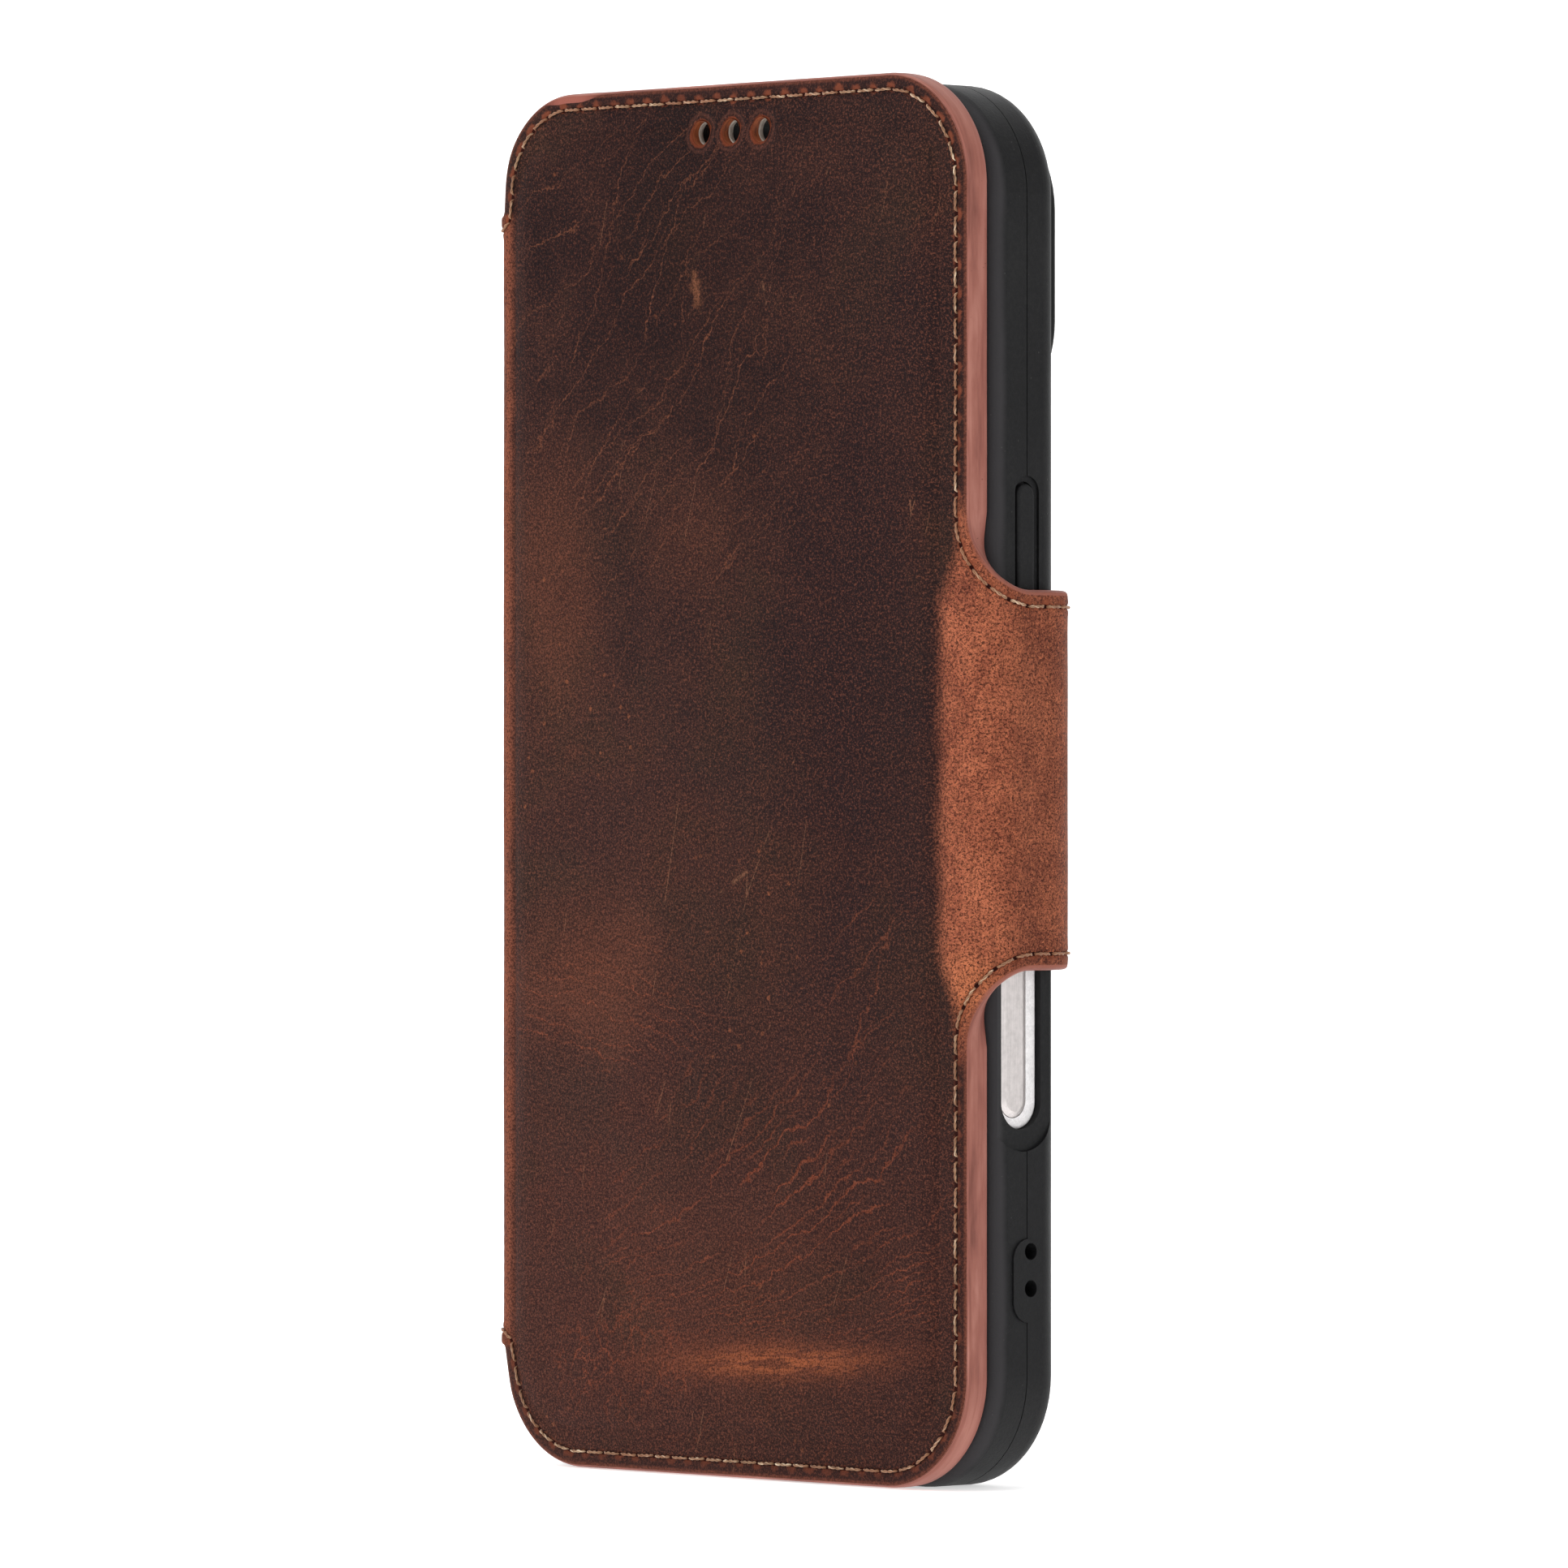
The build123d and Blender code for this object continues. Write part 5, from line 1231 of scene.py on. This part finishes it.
# ----------------------------------------------------- inside of the cover
def slab(name, outline, y0, y1, mat, step=0.8, bulge=0.0, crease=True, holes=()):
    """A flat layer with rounded edges; its inner face is at y1, towards +Y."""
    ds = [0.0, 0.04, 0.12, 0.26, 0.5, 0.85, 1.15, 1.4, 1.65, 2.1, 3.2]
    rs = [ring(outline, d, step) for d in ds]
    n = len(rs[0])
    inner = rs[-1]
    x0, x1 = inner[:, 0].min(), inner[:, 0].max()
    z0, z1 = inner[:, 1].min(), inner[:, 1].max()
    gx = np.arange(x0 + 1, x1 - 0.5, 3.0)
    gz = np.arange(z0 + 1, z1 - 0.5, 3.0)
    g = np.stack(np.meshgrid(gx, gz), -1).reshape(-1, 2)
    lim = ring(outline, ds[-1] + 1.0, 1.5)
    g = g[inside_poly(g, lim)]
    extra = []
    for hx, hz, hr in holes:
        g = g[np.hypot(g[:, 0] - hx, g[:, 1] - hz) > hr + 0.9]
        t = np.linspace(0, 2 * math.pi, 40, endpoint=False)
        for rr in (hr, hr + 0.12, hr + 0.4):
            extra.append(np.stack([hx + rr * np.cos(t), hz + rr * np.sin(t)], -1))
    pts = [inner, g] + extra
    allp = np.concatenate(pts)
    res = delaunay_2d_cdt([Vector(p) for p in allp], [(i, (i + 1) % n) for i in range(n)], [list(range(n))], 1, 1e-6)
    V2 = np.concatenate(rs)
    dd = np.repeat(ds, n)
    total = len(V2)
    remap, newp = {}, []
    for i, o in enumerate(res[3]):
        k = min(o) if len(o) else -1
        if 0 <= k < n:
            remap[i] = (len(ds) - 1) * n + k
        else:
            remap[i] = total + len(newp)
            newp.append((res[0][i][0], res[0][i][1]))
    newp = np.array(newp).reshape(-1, 2)
    V2 = np.concatenate([V2, newp])
    dd = np.concatenate([dd, np.full(len(newp), 9.0)])
    P2 = np.array([(v[0], v[1]) for v in res[0]])
    top = y1 - y0
    h = np.interp(dd, [0, 0.04, 0.12, 0.26, 0.5, 99], [top * 0.55, top * 0.78, top * 0.93, top * 0.99, top, top])
    if crease:
        h = h - 0.05 * np.exp(-((dd - 1.4) / 0.2) ** 2)
    h = h + bulge * np.clip((dd - 2) / 4.0, 0, 1) + 0.012 * hnoise(V2, 1 / 8.0, y0)
    for hx, hz, hr in holes:
        r = np.hypot(V2[:, 0] - hx, V2[:, 1] - hz)
        h = h - 0.12 * np.exp(-np.clip(r - hr, 0, 9) / 0.15)
    F = []
    idx = np.arange(n)
    nxt = (idx + 1) % n
    for k in range(len(ds) - 1):
        for i, j in zip(idx, nxt):
            F.append([int(k * n + i), int((k + 1) * n + i), int((k + 1) * n + j), int(k * n + j)])
    for f in res[2]:
        c = P2[f].mean(0)
        if holes and min(math.hypot(c[0] - hx, c[1] - hz) - hr for hx, hz, hr in holes) < -0.02:
            continue
        F.append([remap[i] for i in f][::-1])
    V3 = np.stack([V2[:, 0], y0 + h, V2[:, 1] + ZC], -1)
    # side wall
    b0 = len(V3)
    low = np.stack([rs[0][:, 0], np.full(n, y0), rs[0][:, 1] + ZC], -1)
    V3 = np.concatenate([V3, low])
    for i, j in zip(idx, nxt):
        F.append([int(i), int(j), int(b0 + j), int(b0 + i)])
    FL = np.concatenate([np.concatenate([V2, np.zeros((len(V2), 1))], 1),
                         np.stack([rs[0][:, 0], rs[0][:, 1], np.full(n, 1.0)], -1)])
    return V3, F, FL


HR = 1.5
IN = 0.12
INR = 40.1 - IN
RT = 36.8          # the layers stop here behind the clasp's bend


def cover_outline(xl, notch, rl):
    """Outline of a layer inside the cover; its left edge at xl with a thumb notch."""
    o = [(xl, -83.75 + IN, rl), (INR, -83.75 + IN, 13.4), (INR, -31.0, 1.6), (RT, -27.0, 1.6),
         (RT, 27.0, 1.6), (INR, 31.0, 1.6), (INR, 83.75 - IN, 13.4), (xl, 83.75 - IN, rl)]
    if notch:
        w, dp = 9.0, 5.2
        o += [(xl, w, 3.0), (xl + dp, w - 4.5, 5.0), (xl + dp, -(w - 4.5), 5.0), (xl, -w, 3.0)]
    return o


left_full = [(-37.2, -83.75 + IN, 12.9), (INR, -83.75 + IN, 13.4), (INR, -31.0, 1.6), (RT, -27.0, 1.6),
             (RT, 27.0, 1.6), (INR, 31.0, 1.6), (INR, 83.75 - IN, 13.4), (-39.4, 83.75 - IN, 11.9),
             (-40.8, 69.9, 0.6), (-37.0, 69.9, 0.6), (-37.0, -69.9, 0.6), (-40.6, -69.9, 0.6)]
sp_holes = [(hx, hz, HR) for hx, hz in HOLES]
V, F, FL = slab("cl", left_full, -8.0, -6.8, MAT_SUEDE, crease=False, holes=sp_holes)
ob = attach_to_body(make_mesh("cover_lining_face", V, F, MAT_SUEDE, attrs={"flat": FL}), "cover")
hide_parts("cover_lining")
for nm, xl, y0, y1, notch, rl in (("cash_pocket", -34.0, -6.85, -6.45, False, 2.5), ("card_pocket_rear", -26.0, -6.5, -6.15, True, 2.0),
                                 ("card_pocket_middle", -16.0, -6.2, -5.85, True, 2.0), ("card_pocket_front", -6.0, -5.9, -5.55, True, 2.0)):
    hs = [h for h in sp_holes if h[0] > xl - 3]
    if nm == "card_pocket_front":
        hs = sp_holes[0:]
    V, F, FL = slab(nm, cover_outline(xl, notch, rl), y0, y1, MAT_POCKET, bulge=0.02, holes=sp_holes if xl < -8 else sp_holes)
    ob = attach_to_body(make_mesh(f"{nm}_leather", V, F, MAT_POCKET, attrs={"flat": FL}), "cover")
    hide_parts(nm)

# thread rows that end the card pockets
pf = np.array([(x, zr) for zr in (-45.0, 45.0) for x in np.arange(-1.5, 36.0, 3.0)])


def pocket_spot(i, along, across, up):
    return np.stack([pf[i, 0] + along, -5.53 + up, ZC + pf[i, 1] - across], -1)


pj = rng.normal(0, 0.5, (len(pf), 4)).clip(-1, 1)
V, F, FL, PL = stitch_mesh(len(pf), pocket_spot, 2.5, pj, pf)
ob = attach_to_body(make_mesh("stitches_pockets", V, F, MAT_THREAD, attrs={"flat": FL, "ply": PL}), "cover")
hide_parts("pocket_stitching")


# ------------------------------------------------------------ speaker holes
def tube(rows_, mat, name, flip=False):
    t = np.linspace(0, 2 * math.pi, 48, endpoint=False)
    V, F, FL = [], [], []
    for h, (hx, hz) in enumerate(HOLES):
        b0 = len(V)
        for k, (r, y) in enumerate(rows_):
            rr = r + 0.02 * np.sin(3 * t + h) + 0.015 * np.sin(7 * t + 2 * h)
            for a, r1 in zip(t, rr):
                V.append((hx + r1 * math.cos(a), y, ZC + hz + r1 * math.sin(a)))
                FL.append((a * 1.5 + h * 10, y, k * 0.2))
        n = len(t)
        for k in range(len(rows_) - 1):
            for i in range(n):
                j = (i + 1) % n
                F.append([b0 + k * n + i, b0 + (k + 1) * n + i, b0 + (k + 1) * n + j, b0 + k * n + j])
    ob = make_mesh(name, np.array(V), F, mat, attrs={"flat": np.array(FL)})
    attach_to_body(ob, "cover")
    return ob


# the leather's face is at about y -9.2 here
tube([(1.53, -8.98), (1.49, -8.80), (1.47, -8.5), (1.46, -8.0)], MAT_BURN, "speaker_hole_leather")
tube([(1.46, -8.02), (1.40, -7.98), (1.36, -7.85), (1.36, -7.45), (1.42, -7.30)], MAT_GREY, "speaker_hole_board")
# painted shade: the wall through the pocket layers is near black, for the shade deep in the hole
tube([(1.42, -7.31), (1.50, -7.22), (1.50, -6.9), (1.50, -5.70), (1.52, -5.60)], MAT_HOLE_SHADE, "speaker_hole_pockets")

# ---------------------------------------------------------- CAD materials
for nm, mat in (("tray_shell", MAT_TPU), ("power_button", MAT_TPU), ("action_button", MAT_TPU), ("volume_up_button", MAT_TPU),
                ("volume_down_button", MAT_TPU), ("camera_key", MAT_KEY), ("camera_key_bezel", MAT_BEZEL_PAINTED_HIGHLIGHT),
                ("back_magnets", MAT_MAGNET), ("clasp_magnets", MAT_MAGNET)):
    me = nodes[nm].data
    me.materials.clear()
    me.materials.append(mat)

# ------------------------------------------------------------------- stage
def stage_mesh():
    V, F = [], []
    prof = [(-2.2, 0.0), (-0.9, 0.0), (0.0, 0.0), (0.9, 0.0)]
    R = 0.9
    for k in range(1, 25):
        a = math.pi / 2 * k / 24
        prof.append((0.9 + R * math.sin(a), R - R * math.cos(a)))
    prof.append((1.8, 3.2))
    W = 3.2
    fwd = Vector((-math.sin(AZ), math.cos(AZ), 0))
    side = Vector((math.cos(AZ), math.sin(AZ), 0))
    for u, z in prof:
        for w in (-W, W):
            p = fwd * u + side * w
            V.append((p.x * 1000, p.y * 1000, z * 1000 - 0.02))
    for k in range(len(prof) - 1):
        F.append([2 * k, 2 * k + 1, 2 * k + 3, 2 * k + 2])
    M = Mat("pale_floor")
    n = M.noise(M.obj(), 3.0, 3.0, 0.5)
    col = M.ramp(n, [(0.3, lin((243, 243, 243))), (0.7, lin((247, 247, 247)))])
    M.set(color=col, rough=0.9, spec=0.1)
    M.bsdf.inputs["Emission Color"].default_value = (1.0, 1.0, 1.0, 1.0)
    M.bsdf.inputs["Emission Strength"].default_value = 0.55
    ob = make_mesh("floor", np.array(V), F, M.m)
    ob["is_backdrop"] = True
    # the floor carries on past the backdrop's ends, for views from the sides
    E = 24000.0
    far = make_mesh("floor_far", np.array([(-E, -E, -0.6), (E, -E, -0.6), (E, E, -0.6), (-E, E, -0.6)]), [[0, 1, 2, 3]], M.m)
    far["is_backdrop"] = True


stage_mesh()

world = bpy.data.worlds.new("studio")
bpy.context.scene.world = world
world.use_nodes = True
bg = world.node_tree.nodes["Background"]
bg.inputs[0].default_value = (1.0, 1.0, 1.0, 1.0)
bg.inputs[1].default_value = 0.36


def area(name, az, el, dist, size, power, aim=(0, 0, 0.084), size_y=None):
    ld = bpy.data.lights.new(name, "AREA")
    ld.energy = power
    ld.shape = "RECTANGLE"
    ld.size = size
    ld.size_y = size_y or size
    ob = bpy.data.objects.new(name, ld)
    a, e = math.radians(az), math.radians(el)
    v = Vector((math.sin(a) * math.cos(e), -math.cos(a) * math.cos(e), math.sin(e)))
    ob.location = Vector(aim) + v * dist
    ob.rotation_euler = (Vector(aim) - ob.location).to_track_quat("-Z", "Y").to_euler()
    bpy.context.scene.collection.objects.link(ob)


area("key_light", -10, 30, 1.6, 1.0, 13.0)
area("fill_light", 100, 25, 1.6, 0.9, 5.0)
area("top_light", 30, 80, 1.4, 1.0, 5.0)

sc = bpy.context.scene
sc.view_settings.view_transform = "Standard"
sc.view_settings.look = "None"

lo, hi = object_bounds()
